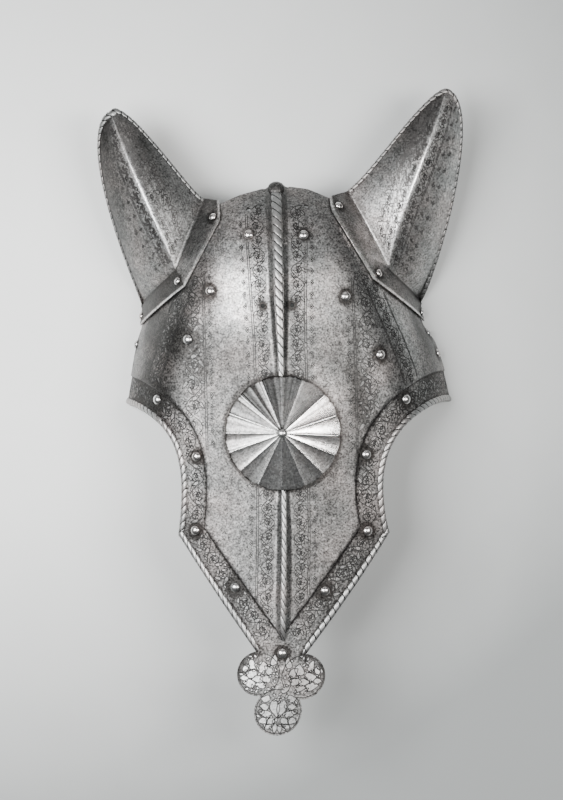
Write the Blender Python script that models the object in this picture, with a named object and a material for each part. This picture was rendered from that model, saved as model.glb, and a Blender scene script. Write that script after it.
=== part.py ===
"""Half shaffron, the steel armour for the upper front of a horse's head.

A raised skull plate carries two riveted ear guards and a fluted rondel. It lies hollow side
down on its two side rims, with the nose towards -Y, the ears towards +Y and the front of the
armour up. Lengths in the tables are millimetres, everything that is built is in metres.
"""

import math
from collections import namedtuple

import bmesh
import bpy
from mathutils import Vector
from mathutils.geometry import delaunay_2d_cdt

for old in list(bpy.data.objects):
    bpy.data.objects.remove(old, do_unlink=True)

MM = 0.001
# The tables are drawn about a point on the forehead. This moves them to the middle of the part.
ORIGIN = Vector((1.06 * MM, 7.61 * MM, 0.0))

PLATE_SHEET = 1.5 * MM
EAR_SHEET = 1.2 * MM
RONDEL_SHEET = 1.2 * MM
PIECE_GAP = 0.3 * MM
FLANGE_GAP = 0.8 * MM


def rows(kind, table, first_number=0):
    """Turn a table in millimetres into rows of the kind in metres, names left as they are."""
    return [kind(*row[:first_number], *(MM * v for v in row[first_number:])) for row in table]


# ---------------------------------------------------------------------------
# Form of the skull plate
# Each section across the head is a front arc, a rounded crease and a bulged side that comes
# down to the rim at z = 0. The flat pattern (a, y) measures a along the section from the
# median line, negative on the left, and keeps y.

Station = namedtuple(
    "Station", "y median_x crown_z crown_radius crease_x rim_left rim_right")
STATIONS = rows(Station, [
    (-270, -2.8, 99.0, 200, 104, 150.0, 155.0),
    (-205, 0.6, 101.5, 165, 104, 148.0, 153.0),
    (-110, 2.2, 107.0, 165, 104, 144.0, 150.0),
    (-27, 0.8, 111.2, 185, 102, 136.0, 147.0),
    (14, 0.0, 112.0, 190, 97, 128.3, 140.5),
    (48, -1.0, 111.8, 185, 86, 121.2, 131.2),
    (64, -1.5, 111.0, 178, 80, 116.0, 121.2),
    (80, -2.0, 109.5, 170, 73, 113.5, 118.0),
    (115, -2.8, 103.5, 145, 60, 104.0, 107.0),
    (145, -3.8, 91.5, 120, 49, 93.0, 95.0),
    (165, -4.3, 76.0, 100, 43, 84.0, 86.0),
    (180, -4.6, 58.0, 90, 40, 78.0, 80.0),
])
SIDE_BULGE = 0.08
CREASE_HALF_LENGTH = 14 * MM


def station_at(y):
    """Smoothly interpolated section sizes at one distance along the head."""
    y = min(max(y, STATIONS[0].y), STATIONS[-1].y)
    i = max(k for k in range(len(STATIONS) - 1) if STATIONS[k].y <= y)
    low = STATIONS[i]
    high = STATIONS[i + 1]
    before = STATIONS[max(i - 1, 0)]
    after = STATIONS[min(i + 2, len(STATIONS) - 1)]
    span = high.y - low.y
    u = (y - low.y) / span
    sizes = [y]
    for c in range(1, len(low)):
        slope_low = (high[c] - before[c]) / (high.y - before.y) * span
        slope_high = (after[c] - low[c]) / (after.y - low.y) * span
        sizes.append(
            (2 * u**3 - 3 * u**2 + 1) * low[c] + (u**3 - 2 * u**2 + u) * slope_low
            + (3 * u**2 - 2 * u**3) * high[c] + (u**3 - u**2) * slope_high)
    return Station(*sizes)


def side_chord(station, side):
    """Length of the front arc, the crease point and the line from the crease to the rim."""
    turn = math.asin(station.crease_x / station.crown_radius)
    drop = station.crown_radius * (1 - math.cos(turn))
    crease = Vector((station.crease_x, station.crown_z - drop))
    rim_x = station.rim_left if side < 0 else station.rim_right
    return station.crown_radius * turn, crease, Vector((rim_x, 0)) - crease


def surface(a, y):
    """Point of the smooth outer face for a place on the flat pattern."""
    station = station_at(y)
    front_length, crease, chord = side_chord(station, a)
    outward = Vector((-chord.y, chord.x)).normalized()

    def on_front(s):
        angle = s / station.crown_radius
        drop = station.crown_radius * (1 - math.cos(angle))
        return Vector((station.crown_radius * math.sin(angle), station.crown_z - drop))

    def on_side(s):
        u = s / chord.length
        return crease + chord * u + outward * (4 * SIDE_BULGE * chord.length * u * (1 - u))

    s = abs(a) - front_length
    if s <= -CREASE_HALF_LENGTH:
        p = on_front(abs(a))
    elif s >= CREASE_HALF_LENGTH:
        p = on_side(s)
    else:
        w = (s + CREASE_HALF_LENGTH) / (2 * CREASE_HALF_LENGTH)
        start = on_front(front_length - CREASE_HALF_LENGTH)
        p = start * (1 - w)**2 + crease * (2 * w * (1 - w)) + on_side(CREASE_HALF_LENGTH) * w**2
    return Vector((station.median_x + math.copysign(p.x, a), y, p.y))


def surface_steps(a, y):
    """Change of the outer face along the section and along the head."""
    step = 0.5 * MM
    along = (surface(a + step, y) - surface(a - step, y)) / (2 * step)
    up = (surface(a, y + step) - surface(a, y - step)) / (2 * step)
    return along, up


def normal_at(a, y):
    along, up = surface_steps(a, y)
    return along.cross(up).normalized()


def rim_arc(y, side):
    """Place of the rim on the flat pattern."""
    front_length, crease, chord = side_chord(station_at(y), side)
    return side * (front_length + chord.length)


def arc_at(x, y):
    """Place on the flat pattern of the point seen at x from the front."""
    median_x = station_at(y).median_x
    side = -1 if x < median_x else 1
    low = 0.0
    high = abs(rim_arc(y, side))
    for _ in range(30):
        middle = (low + high) / 2
        if abs(surface(side * middle, y).x - median_x) < abs(x - median_x):
            low = middle
        else:
            high = middle
    return side * low


def bezier(p, t):
    """Point on a cubic curve given by its four control points."""
    return (p[0] * (1 - t)**3 + p[1] * (3 * t * (1 - t)**2)
            + p[2] * (3 * t**2 * (1 - t)) + p[3] * t**3)


def flat(*pairs):
    return [Vector((MM * a, MM * y)) for a, y in pairs]


def split(line, longest):
    """Add points to a line so that no stretch of it is longer than the length given."""
    points = [line[0]]
    for p, q in zip(line, line[1:]):
        count = max(1, math.ceil((q - p).length / longest))
        points += [p.lerp(q, k / count) for k in range(1, count + 1)]
    return points


def offset(line, distance):
    """Line parallel to an open line, on its left, with mitred corners."""
    moved = []
    for i, p in enumerate(line):
        before = (p - line[i - 1]).normalized() if i > 0 else None
        after = (line[i + 1] - p).normalized() if i < len(line) - 1 else None
        before = before or after
        after = after or before
        mean = (before + after).normalized()
        left = Vector((-mean.y, mean.x))
        moved.append(p + left * (distance / mean.dot(after)))
    return moved


def distance_to(line, p):
    """Shortest distance from a point to a line in the flat pattern."""
    best = math.inf
    for q, r in zip(line, line[1:]):
        run = r - q
        u = min(max((p - q).dot(run) / run.length_squared, 0), 1)
        best = min(best, (q + run * u - p).length)
    return best


# ---------------------------------------------------------------------------
# Flat pattern of the skull plate
# The nose is a trefoil of three discs. From it a straight taper widens to the lower corner of
# each eye cut, the cut curves round to the rim, and the rim, the ear notch and the arched poll
# edge close the outline.

Disc = namedtuple("Disc", "a y radius")
NOSE_DISCS = rows(Disc, [
    (-18.1, -220.3, 18.2),
    (-1.1, -250.7, 19.5),
    (17.4, -222.7, 18.5),
])
TAPER_START = {-1: flat((-21.5, -202.3))[0], 1: flat((18.7, -205.4))[0]}
# Cubic curve of each eye cut: the lower corner and two control points. It ends on the rim.
EYE_CUT = {
    -1: flat((-91.2, -108.9), (-75.2, -20.2), (-103.9, -4.9)),
    1: flat((90.4, -107.7), (65.8, -23.7), (121.3, 3.2)),
}
EYE_CUT_END_Y = {-1: -2.9 * MM, 1: -0.9 * MM}
EYE_CUT_STEPS = 18
TAPER_STEP = 20 * MM
EDGE_STEP = 13 * MM
RIM_END_Y = 80 * MM
RIM_STEPS = 12
# Line where each ear guard leaves the plate, from the poll to the rim, as (x, y) from the front.
EAR_BEND = {
    -1: flat((-63.0, 164.7), (-85.4, 106.3), (-118.0, 80.2)),
    1: flat((53.3, 171.0), (86.7, 108.4), (119.0, 81.9)),
}
NOTCH_SETBACK = 1.6 * MM
# The arched edge behind the poll, from the right ear guard to the left one.
POLL_EDGE = flat(
    (60, 160.0), (47.3, 164.5), (37, 168.5), (25.7, 172.8), (11.5, 174.6), (0, 171.5),
    (-11.5, 172.6), (-30, 167.4), (-46.7, 160.9), (-62, 155.0))

# The border band between the roped edges and the field is sunk behind a narrow step.
BAND_WIDTH = {-1: 23.5 * MM, 1: 25.3 * MM}
BAND_DEPTH = 1.2 * MM
STEP_RUN = 1.2 * MM
# Below this the two border bands have met and the whole sheet is sunk.
FIELD_END_Y = -198 * MM
BEAD_RADIUS = 2.6 * MM
BEAD_FADE = 6 * MM

# The median ridge: a rope on two hollow flanks, from the nose rivet to behind the poll.
Ridge = namedtuple("Ridge", "y rope_radius half_width height")
RIDGE = rows(Ridge, [
    (-194, 0.4, 1.5, 0.0),
    (-190, 2.0, 4.5, 1.2),
    (-182, 2.4, 6.5, 2.8),
    (-160, 2.4, 7.5, 4.0),
    (-105, 2.1, 6.5, 4.6),
    (-78, 2.1, 6.0, 2.8),
    (-26, 2.0, 6.0, 1.6),
    (24, 2.3, 6.2, 2.0),
    (80, 3.7, 8.5, 4.6),
    (185, 4.5, 9.5, 6.0),
])


def ridge_at(y):
    y = min(max(y, RIDGE[0].y), RIDGE[-1].y)
    i = max(k for k in range(len(RIDGE) - 1) if RIDGE[k].y <= y)
    u = (y - RIDGE[i].y) / (RIDGE[i + 1].y - RIDGE[i].y)
    return Ridge(*(p + (q - p) * u for p, q in zip(RIDGE[i], RIDGE[i + 1])))


def bordered_edge(side):
    """Roped edge from the nose along the taper and round the eye cut to the rim."""
    end_y = EYE_CUT_END_Y[side]
    cut = EYE_CUT[side] + [Vector((rim_arc(end_y, side), end_y))]
    start = TAPER_START[side]
    full = start + (cut[0] - start).normalized() * BEAD_FADE
    taper = [start] + split([full, cut[0]], TAPER_STEP)
    return taper + [bezier(cut, k / EYE_CUT_STEPS) for k in range(1, EYE_CUT_STEPS + 1)]


# Left and right are -1 and 1 wherever a table or a function takes a side.
EDGES = {side: bordered_edge(side) for side in (-1, 1)}


def band_level(a, y):
    """Level of the plate: zero on the field, sunk in the border band and on the nose."""
    if y < FIELD_END_Y:
        return -BAND_DEPTH
    side = -1 if a < 0 else 1
    reach = distance_to(EDGES[side], Vector((a, y)))
    inside = (reach - BAND_WIDTH[side]) / STEP_RUN + 0.5
    return -BAND_DEPTH * (1 - min(max(inside, 0), 1))


def ridge_level(a, y):
    """Height of the hollow flanks of the median ridge, without the rope on top."""
    ridge = ridge_at(y)
    u = (ridge.half_width - abs(a)) / (ridge.half_width - ridge.rope_radius)
    return ridge.height * min(max(u, 0), 1)**1.5


def bead_level(a, y):
    """Plain round of the roped edge, which fades in from the nose."""
    side = -1 if a < 0 else 1
    p = Vector((a, y))
    edge = EDGES[side]
    reach = distance_to(edge, p)
    if reach >= 2 * BEAD_RADIUS:
        return 0
    along = (p - edge[0]).dot((edge[1] - edge[0]).normalized())
    grown = min(max(along / BEAD_FADE, 0), 1)
    return grown * math.sqrt(max(0, BEAD_RADIUS**2 - (reach - BEAD_RADIUS)**2))


def rope_level(a, y):
    """Plain round of the rope along the median ridge."""
    radius = ridge_at(y).rope_radius
    if RIDGE[0].y < y and abs(a) < radius:
        return math.sqrt(radius**2 - a**2)
    return 0


def lifted(a, y, height):
    """Point above or below the outer face. On the rim it stays at z = 0."""
    side = -1 if a < 0 else 1
    if abs(a) > abs(rim_arc(y, side)) - PIECE_GAP:
        rim = surface(rim_arc(y, side), y)
        return Vector((rim.x + side * height, y, 0.0))
    return surface(a, y) + normal_at(a, y) * height


def outer_face(a, y):
    rounds = max(rope_level(a, y), bead_level(a, y))
    return lifted(a, y, band_level(a, y) + ridge_level(a, y) + rounds)


def inner_face(a, y):
    return lifted(a, y, band_level(a, y) + ridge_level(a, y) - PLATE_SHEET)


# ---------------------------------------------------------------------------
# Fastenings: every rivet and hole by its place on the flat pattern

Rivet = namedtuple("Rivet", "name seat a y head_radius head_height")
RIVETS = rows(Rivet, [
    ("poll_rivet_left", "plate", -23.1, 133.3, 4.0, 3.2),
    ("poll_rivet_right", "plate", 21.1, 132.9, 4.0, 3.2),
    ("forehead_rivet_left", "plate", -56.0, 87.8, 4.0, 3.2),
    ("forehead_rivet_right", "plate", 54.5, 83.4, 4.0, 3.2),
    ("brow_rivet_left", "plate", -76.3, 48.7, 4.0, 3.2),
    ("brow_rivet_right", "plate", 82.8, 36.5, 4.0, 3.2),
    ("eye_rivet_upper_left", "plate", -109.1, 0.3, 4.0, 3.2),
    ("eye_rivet_upper_right", "plate", 107.9, 0.6, 4.0, 3.2),
    ("eye_rivet_middle_left", "plate", -71.8, -45.7, 4.0, 3.2),
    ("eye_rivet_middle_right", "plate", 69.2, -44.0, 4.0, 3.2),
    ("eye_rivet_lower_left", "plate", -74.6, -105.4, 4.0, 3.2),
    ("eye_rivet_lower_right", "plate", 69.8, -105.6, 4.0, 3.2),
    ("taper_rivet_left", "plate", -39.6, -150.7, 4.0, 3.2),
    ("taper_rivet_right", "plate", 33.7, -153.4, 4.0, 3.2),
    ("nose_rivet", "plate", 0.0, -203.7, 4.2, 3.4),
    ("strap_rivet_left", "plate", -172.0, 46.5, 3.4, 2.4),
    ("strap_rivet_right_upper", "plate", 175.0, 56.3, 3.4, 2.4),
    ("strap_rivet_right_lower", "plate", 179.0, 39.3, 3.4, 2.4),
    ("ear_rivet_left_inner", "flange", -53.9, 147.8, 3.2, 2.2),
    ("ear_rivet_left_middle", "flange", -90.0, 96.2, 3.2, 2.2),
    ("ear_rivet_left_outer", "flange", -167.0, 70.0, 3.2, 2.2),
    ("ear_rivet_right_inner", "flange", 53.2, 157.4, 3.2, 2.2),
    ("ear_rivet_right_middle", "flange", 89.5, 102.6, 3.2, 2.2),
    ("ear_rivet_right_outer", "flange", 168.5, 73.0, 3.2, 2.2),
], first_number=2)
RONDEL_RIVET_Y = -26.4 * MM

Hole = namedtuple("Hole", "name a y radius")
HOLES = rows(Hole, [
    ("cord hole left", -13.1, 75.3, 1.7),
    ("cord hole right", 10.5, 75.9, 1.7),
    ("poll hole left", -23.2, 154.4, 1.9),
    ("poll hole right", 24.4, 157.4, 1.9),
    ("strap hole left", -174.0, 29.0, 2.0),
], first_number=1)

SHANK_RADIUS = 1.9 * MM
SHANK_HOLE_RADIUS = SHANK_RADIUS + 0.6 * MM
TAIL_RADIUS = 3.0 * MM
TAIL_HEIGHT = 1.0 * MM
TAIL_GAP = 0.6 * MM
ROUND_SIDES = 8


def hole_outline(a, y, radius):
    """Flat pattern outline of a round hole drilled square to the plate."""
    along, up = surface_steps(a, y)
    across = along.normalized()
    forward = normal_at(a, y).cross(across)
    points = []
    for k in range(ROUND_SIDES):
        angle = math.tau * k / ROUND_SIDES
        d = radius * (math.cos(angle) * across + math.sin(angle) * forward)
        dy = d.dot(forward) / up.dot(forward)
        da = (d.dot(across) - dy * up.dot(across)) / along.length
        points.append(Vector((a + da, y + dy)))
    return points


# ---------------------------------------------------------------------------
# Making solids

def steel(name, colour, roughness):
    """Bright steel with its own tone, worn smooth or pitted."""
    material = bpy.data.materials.new(name)
    material.use_nodes = True
    shader = material.node_tree.nodes["Principled BSDF"]
    shader.inputs["Base Color"].default_value = (*colour, 1)
    shader.inputs["Metallic"].default_value = 1.0
    shader.inputs["Roughness"].default_value = roughness
    return material


def add_object(name, mesh, material, location):
    """Link a mesh as one named sub-part, shaded smooth up to its sharp edges."""
    mesh.materials.clear()
    mesh.materials.append(material)
    mesh.shade_smooth()
    mesh.set_sharp_from_angle(angle=math.radians(30))
    result = bpy.data.objects.new(name, mesh)
    result.location = location
    bpy.context.scene.collection.objects.link(result)
    return result


def closed_mesh(name, vertices, faces):
    """Mesh of one closed body with its faces pointing out."""
    mesh = bpy.data.meshes.new(name)
    mesh.from_pydata(vertices, [], faces)
    built = bmesh.new()
    built.from_mesh(mesh)
    bmesh.ops.recalc_face_normals(built, faces=built.faces)
    built.to_mesh(mesh)
    built.free()
    return mesh


def close_sheet(faces, count):
    """Double a sheet of faces: the outer ones, the inner ones turned over, and the edge wall."""
    used = set()
    for face in faces:
        used.update(zip(face, face[1:] + face[:1]))
    inner = [tuple(count + i for i in reversed(face)) for face in faces]
    wall = [(j, i, count + i, count + j) for i, j in used if (j, i) not in used]
    return list(faces) + inner + wall


def inside(loop, p):
    """Whether a point of the flat pattern lies inside a closed loop."""
    hit = False
    for q, r in zip(loop, loop[1:] + loop[:1]):
        if (q.y > p.y) != (r.y > p.y) and p.x < q.x + (r.x - q.x) * (p.y - q.y) / (r.y - q.y):
            hit = not hit
    return hit


def triangulate(outline, holes, lines, spacing):
    """Fill the outline with triangles that keep the holes, the lines and an even grid."""
    points = []
    edges = []

    def add(line, closed):
        start = len(points)
        points.extend(line)
        edges.extend((start + k, start + k + 1) for k in range(len(line) - 1))
        if closed:
            edges.append((len(points) - 1, start))

    for loop in [outline] + holes:
        add(loop, True)
    for line in lines:
        add(line, False)
    fixed = [(points[i], points[j]) for i, j in edges]
    low_a = min(p.x for p in outline)
    low_y = min(p.y for p in outline)
    row_height = spacing * math.sqrt(3) / 2
    row_count = int((max(p.y for p in outline) - low_y) / row_height)
    column_count = int((max(p.x for p in outline) - low_a) / spacing)
    for r in range(1, row_count + 1):
        for c in range(column_count + 1):
            p = Vector((low_a + (c + 0.5 * (r % 2)) * spacing, low_y + r * row_height))
            clear = inside(outline, p) and all(
                distance_to(segment, p) > 0.55 * spacing for segment in fixed)
            if clear:
                points.append(p)
    corners, _, triangles, _, _, _ = delaunay_2d_cdt(points, edges, [], 0, 1e-7)
    kept = []
    for i, j, k in triangles:
        middle = (corners[i] + corners[j] + corners[k]) / 3
        if inside(outline, middle) and not any(inside(hole, middle) for hole in holes):
            kept.append((i, j, k))
    names = {i: n for n, i in enumerate(sorted({i for face in kept for i in face}))}
    return [corners[i] for i in names], [tuple(names[i] for i in face) for face in kept]


# ---------------------------------------------------------------------------
# skull_plate

def nose_outline():
    """Trefoil from the left end of the taper round to the right end."""
    start = TAPER_START[-1]
    points = []
    for i, disc in enumerate(NOSE_DISCS):
        centre = Vector((disc.a, disc.y))
        if i < len(NOSE_DISCS) - 1:
            other = NOSE_DISCS[i + 1]
            line = Vector((other.a, other.y)) - centre
            along = (line.length_squared + disc.radius**2 - other.radius**2) / (2 * line.length)
            away = math.sqrt(disc.radius**2 - along**2)
            forward = line.normalized()
            end = centre + forward * along + Vector((forward.y, -forward.x)) * away
        else:
            end = TAPER_START[1]
        first = start - centre
        turn = (end - centre).angle_signed(first) % math.tau
        count = math.ceil(turn / DISC_STEP)
        begin = math.atan2(first.y, first.x)
        for k in range(count):
            angle = begin + turn * k / count
            points.append(centre + Vector((math.cos(angle), math.sin(angle))) * disc.radius)
        start = end
    points[0] = TAPER_START[-1]
    return points


def rim_line(side):
    """Rim from the eye cut to the ear notch."""
    start = EYE_CUT_END_Y[side]
    ys = [start + (RIM_END_Y - start) * k / RIM_STEPS for k in range(RIM_STEPS + 1)]
    return [Vector((rim_arc(y, side), y)) for y in ys]


def notch_line(side):
    """Edge under the ear guard, set back from its bend, from the rim to the poll edge."""
    bend = offset(EAR_BEND[side], side * NOTCH_SETBACK)
    corner = Vector((arc_at(*bend[1]), bend[1].y))
    poll_end = POLL_EDGE[0] if side > 0 else POLL_EDGE[-1]
    return split([rim_line(side)[-1], corner, poll_end], EDGE_STEP)


def plate_outline():
    right = EDGES[1] + rim_line(1)[1:] + notch_line(1)[1:]
    left = EDGES[-1] + rim_line(-1)[1:] + notch_line(-1)[1:]
    left.reverse()
    return nose_outline() + right + split(POLL_EDGE, EDGE_STEP)[1:-1] + left[:-1]


# The relief turns on lines at these reaches: across the bead in bead radii, across the ridge
# from the side of the rope (0) to the foot of the flank (1), across the crease in half lengths.
BEAD_REACHES = (0.35, 1.0, 1.65, 2.0)
RIDGE_REACHES = (-0.3, 0.0, 0.45, 1.0)
CREASE_REACHES = (-1.0, -0.5, 0.0, 0.5, 1.0)
RIDGE_STEPS = 24
CREASE_STEPS = 29
OVERRUN = 6 * MM


def band_lines():
    """Lines the relief of the roped edges and of the sunk band turns on."""
    lines = []
    for side in (-1, 1):
        edge = EDGES[side]
        beyond = edge[-1] + Vector((side * OVERRUN, 0))
        for reach in BEAD_REACHES:
            lines.append(offset(edge + [beyond], side * reach * BEAD_RADIUS))
        for half in (-0.5, 0.5):
            reach = BAND_WIDTH[side] + half * STEP_RUN
            line = offset(edge + [beyond], side * reach)
            lines.append([p for p in line if side * p.x > 0])
    return lines


def ridge_lines():
    """Median line, sides of the rope, middle and foot of the flanks."""
    start = RIDGE[0].y
    run = max(p.y for p in POLL_EDGE) + OVERRUN - start
    ys = [start + run * k / RIDGE_STEPS for k in range(RIDGE_STEPS + 1)]
    ys[1:1] = [RIDGE[1].y, RIDGE[2].y]
    lines = [[Vector((0, y)) for y in ys]]
    for side in (-1, 1):
        for u in RIDGE_REACHES:
            line = []
            for y in ys:
                ridge = ridge_at(y)
                flank = ridge.half_width - ridge.rope_radius
                reach = ridge.rope_radius * (1 + u) if u < 0 else ridge.rope_radius + u * flank
                line.append(Vector((side * reach, y)))
            lines.append(line)
    return lines


def crease_lines():
    """Lines along the rounded crease between the front and the sides."""
    lines = []
    for side in (-1, 1):
        for reach in CREASE_REACHES:
            line = []
            for k in range(CREASE_STEPS + 1):
                y = STATIONS[0].y + (STATIONS[-1].y - STATIONS[0].y) * k / CREASE_STEPS
                front_length, crease, chord = side_chord(station_at(y), side)
                line.append(Vector((side * (front_length + reach * CREASE_HALF_LENGTH), y)))
            lines.append(line)
    return lines


GRID = 17 * MM
DISC_STEP = math.radians(19)

holes = [hole_outline(rivet.a, rivet.y, SHANK_HOLE_RADIUS) for rivet in RIVETS]
holes += [hole_outline(hole.a, hole.y, hole.radius) for hole in HOLES]
holes.append(hole_outline(0.0, RONDEL_RIVET_Y, SHANK_HOLE_RADIUS))
outline = plate_outline()
places, triangles = triangulate(
    outline, holes, band_lines() + ridge_lines() + crease_lines(), GRID)
outer = [outer_face(p.x, p.y) for p in places]
inner = [inner_face(p.x, p.y) for p in places]
plate_mesh = closed_mesh("skull_plate", outer + inner, close_sheet(triangles, len(places)))
add_object("skull_plate", plate_mesh, steel("plate_steel", (0.34, 0.35, 0.36), 0.42), ORIGIN)


# ---------------------------------------------------------------------------
# ear_guard_left, ear_guard_right
# Each is a half cone with a median keel and a rounded tip. Its base turns out into a flange in
# two straight stretches that lies on the plate.

Curve = namedtuple("Curve", "inner keel outer")


def curve(*points):
    return [Vector(MM * v for v in p) for p in points]


EAR_CURVES = {
    -1: Curve(
        inner=curve((-62.6, 163.2, 50), (-70.9, 163.8, 60), (-130.5, 253.9, 60), (-139.7, 235.7, 58)),
        keel=curve((-87.6, 107.0, 68), (-102.4, 149.2, 86), (-125.2, 188.7, 80), (-139.7, 235.7, 58)),
        outer=curve((-118.1, 79.2, 4), (-125.3, 104.1, 30), (-173.1, 221.0, 46), (-139.7, 235.7, 58))),
    1: Curve(
        inner=curve((53.3, 170.2, 45), (73.9, 184.5, 60), (116.5, 252.8, 60), (135.3, 254.9, 58)),
        keel=curve((86.5, 108.2, 60), (95.8, 158.0, 82), (120.8, 202.2, 80), (135.3, 254.9, 58)),
        outer=curve((119.1, 81.7, 4), (129.2, 101.7, 30), (170.5, 246.9, 46), (135.3, 254.9, 58))),
}
# Free edge of the flange, as (x, y) from the front: two corners at the poll, the corner under
# the keel, the rim corner.
FLANGE_EDGE = {
    -1: flat((-50.5, 161.9), (-48.6, 146.9), (-77.4, 91.5), (-116.9, 62.3)),
    1: flat((38.9, 165.3), (39.5, 154.7), (74.2, 97.0), (119.6, 66.2)),
}
FLANGE_STEPS = 3
# The flange stays this far from the rim, measured round the plate.
RIM_MARGIN = 3.0 * MM
EAR_ROLL_RADIUS = 1.5 * MM
# Control point of each flank, as shares of the rise to the keel and of the run to its foot.
FLANK_RISE = 0.72
FLANK_RUN = 0.22
# A flank measures this much more than the straight line across it.
FLANK_ARCH = 1.12
# Places of the columns from the inner edge (0) by the keel (1) to the outer edge (2).
FLANK_COLUMNS = (0.14, 0.24, 0.34, 0.44, 0.54, 0.64, 0.73, 0.82, 0.91)
# Places of the rows from the bend (0) to the tip (1).
EAR_ROWS = (0.04, 0.1, 0.19, 0.31, 0.44, 0.57, 0.7, 0.81, 0.9, 0.965)


def ear_section(curves, t, s):
    """Point of the ear guard between its edges and keel, without the base."""
    inner_edge = bezier(curves.inner, t)
    keel = bezier(curves.keel, t)
    outer_edge = bezier(curves.outer, t)
    chord = outer_edge - inner_edge
    foot = inner_edge + chord * ((keel - inner_edge).dot(chord) / chord.length_squared)
    rise = keel - foot
    edge = inner_edge if s <= 1 else outer_edge
    u = s if s <= 1 else 2 - s
    middle = edge + rise * FLANK_RISE + (foot - edge) * FLANK_RUN
    return edge * (1 - u)**2 + middle * (2 * u * (1 - u)) + keel * u**2


def along_line(line, marks, s):
    """Point of a line whose corners stand at the marks."""
    k = max(i for i in range(len(marks) - 1) if marks[i] <= s)
    return line[k].lerp(line[k + 1], (s - marks[k]) / (marks[k + 1] - marks[k]))


def ear_columns(curves, t):
    """Column places at one row, with the roll of both edges kept at its real width."""
    keel = bezier(curves.keel, t)
    reach = []
    for edge in (curves.inner, curves.outer):
        length = (keel - bezier(edge, t)).length * FLANK_ARCH
        reach.append(min(FLANK_COLUMNS[0] / 2.2, EAR_ROLL_RADIUS / length))
    inner_side = [0.0, reach[0], 2 * reach[0]] + list(FLANK_COLUMNS)
    outer_side = [2.0, 2 - reach[1], 2 - 2 * reach[1]] + [2 - s for s in FLANK_COLUMNS]
    return inner_side + [1.0] + outer_side[::-1]


def mean_normals(points, faces):
    """Normal at each point, from the faces round it."""
    sums = [Vector((0, 0, 0)) for _ in points]
    for face in faces:
        across = points[face[2]] - points[face[0]]
        other = points[face[-1]] - points[face[1]]
        normal = across.cross(other).normalized()
        for i in face:
            sums[i] += normal
    return [v.normalized() for v in sums]


def ear_guard(name, side):
    curves = EAR_CURVES[side]
    sheet_rows = []
    base = ear_columns(curves, 0)
    flange_marks = [0.0, base[2], 1.0, 2.0]
    for step in range(FLANGE_STEPS + 1):
        row = []
        for s in base:
            edge = along_line(FLANGE_EDGE[side], flange_marks, s)
            p = edge.lerp(along_line(EAR_BEND[side], [0.0, 1.0, 2.0], s), step / FLANGE_STEPS)
            limit = abs(rim_arc(p.y, side)) - RIM_MARGIN
            a = side * min(abs(arc_at(p.x, p.y)), limit)
            normal = normal_at(a, p.y)
            row.append((surface(a, p.y) + normal * (FLANGE_GAP + EAR_SHEET), normal))
        sheet_rows.append(row)
    for t in EAR_ROWS:
        row = []
        for k, s in enumerate(ear_columns(curves, t)):
            bend = sheet_rows[FLANGE_STEPS][k][0]
            start = ear_section(curves, 0, base[k])
            row.append((ear_section(curves, t, s) + (bend - start) * (1 - t)**3, None))
        sheet_rows.append(row)
    columns = len(base)
    points = [p for row in sheet_rows for p, _ in row]
    fixed = [normal for row in sheet_rows for _, normal in row]
    faces = []
    for r in range(len(sheet_rows) - 1):
        for c in range(columns - 1):
            corner = r * columns + c
            face = (corner, corner + 1, corner + columns + 1, corner + columns)
            faces.append(face if side > 0 else face[::-1])
    tip = len(points)
    points.append(bezier(curves.keel, 1))
    fixed.append(None)
    last = (len(sheet_rows) - 1) * columns
    for c in range(columns - 1):
        face = (last + c, last + c + 1, tip)
        faces.append(face if side > 0 else face[::-1])
    normals = mean_normals(points, faces)
    raised = {1, columns - 2}
    outer = []
    inner = []
    for i, p in enumerate(points):
        normal = fixed[i] or normals[i]
        rolled = i > FLANGE_STEPS * columns + columns and i % columns in raised
        roll = EAR_ROLL_RADIUS * 0.8 if rolled else 0
        outer.append(p + normal * roll)
        inner.append(p - normal * EAR_SHEET)
    mesh = closed_mesh(name, outer + inner, close_sheet(faces, len(points)))
    return add_object(name, mesh, steel(name + "_steel", (0.3, 0.31, 0.32), 0.42), ORIGIN)


FLANGE_DRILL_REACH = 4 * MM


def drill(target, a, y, radius, reach):
    """Cut a round hole square to the plate, by a cutter that is taken away again."""
    cutter_mesh = bpy.data.meshes.new("cutter")
    built = bmesh.new()
    bmesh.ops.create_cone(
        built, cap_ends=True, segments=ROUND_SIDES, radius1=radius, radius2=radius,
        depth=2 * reach)
    built.to_mesh(cutter_mesh)
    built.free()
    cutter = bpy.data.objects.new("cutter", cutter_mesh)
    cutter.location = surface(a, y) + ORIGIN
    cutter.rotation_euler = normal_at(a, y).to_track_quat("Z", "Y").to_euler()
    cutter.hide_render = True
    cutter.display_type = "WIRE"
    bpy.context.scene.collection.objects.link(cutter)
    cut = target.modifiers.new("hole", "BOOLEAN")
    cut.operation = "DIFFERENCE"
    cut.solver = "EXACT"
    cut.object = cutter


for name, side in (("ear_guard_left", -1), ("ear_guard_right", 1)):
    guard = ear_guard(name, side)
    for rivet in RIVETS:
        if rivet.seat == "flange" and side * rivet.a > 0:
            drill(guard, rivet.a, rivet.y, SHANK_HOLE_RADIUS, FLANGE_DRILL_REACH)


# ---------------------------------------------------------------------------
# rondel
# A shallow fluted cone: sixteen sharp ridges with hollow petals between them, and a rim that
# bulges a little at each petal. Its sides droop to follow the plate.

RONDEL_PETALS = 16
RONDEL_RADIUS = 45.2 * MM
PETAL_BULGE = 1.1 * MM
PETAL_DEPTH = 1.0 * MM
RONDEL_RISE = 12.0 * MM
RONDEL_DROOP = 4.0 * MM
RONDEL_RIM_Z = 117.9 * MM
RONDEL_RINGS = (8, 19, 30, 39)
POINTS_A_PETAL = 4


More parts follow.
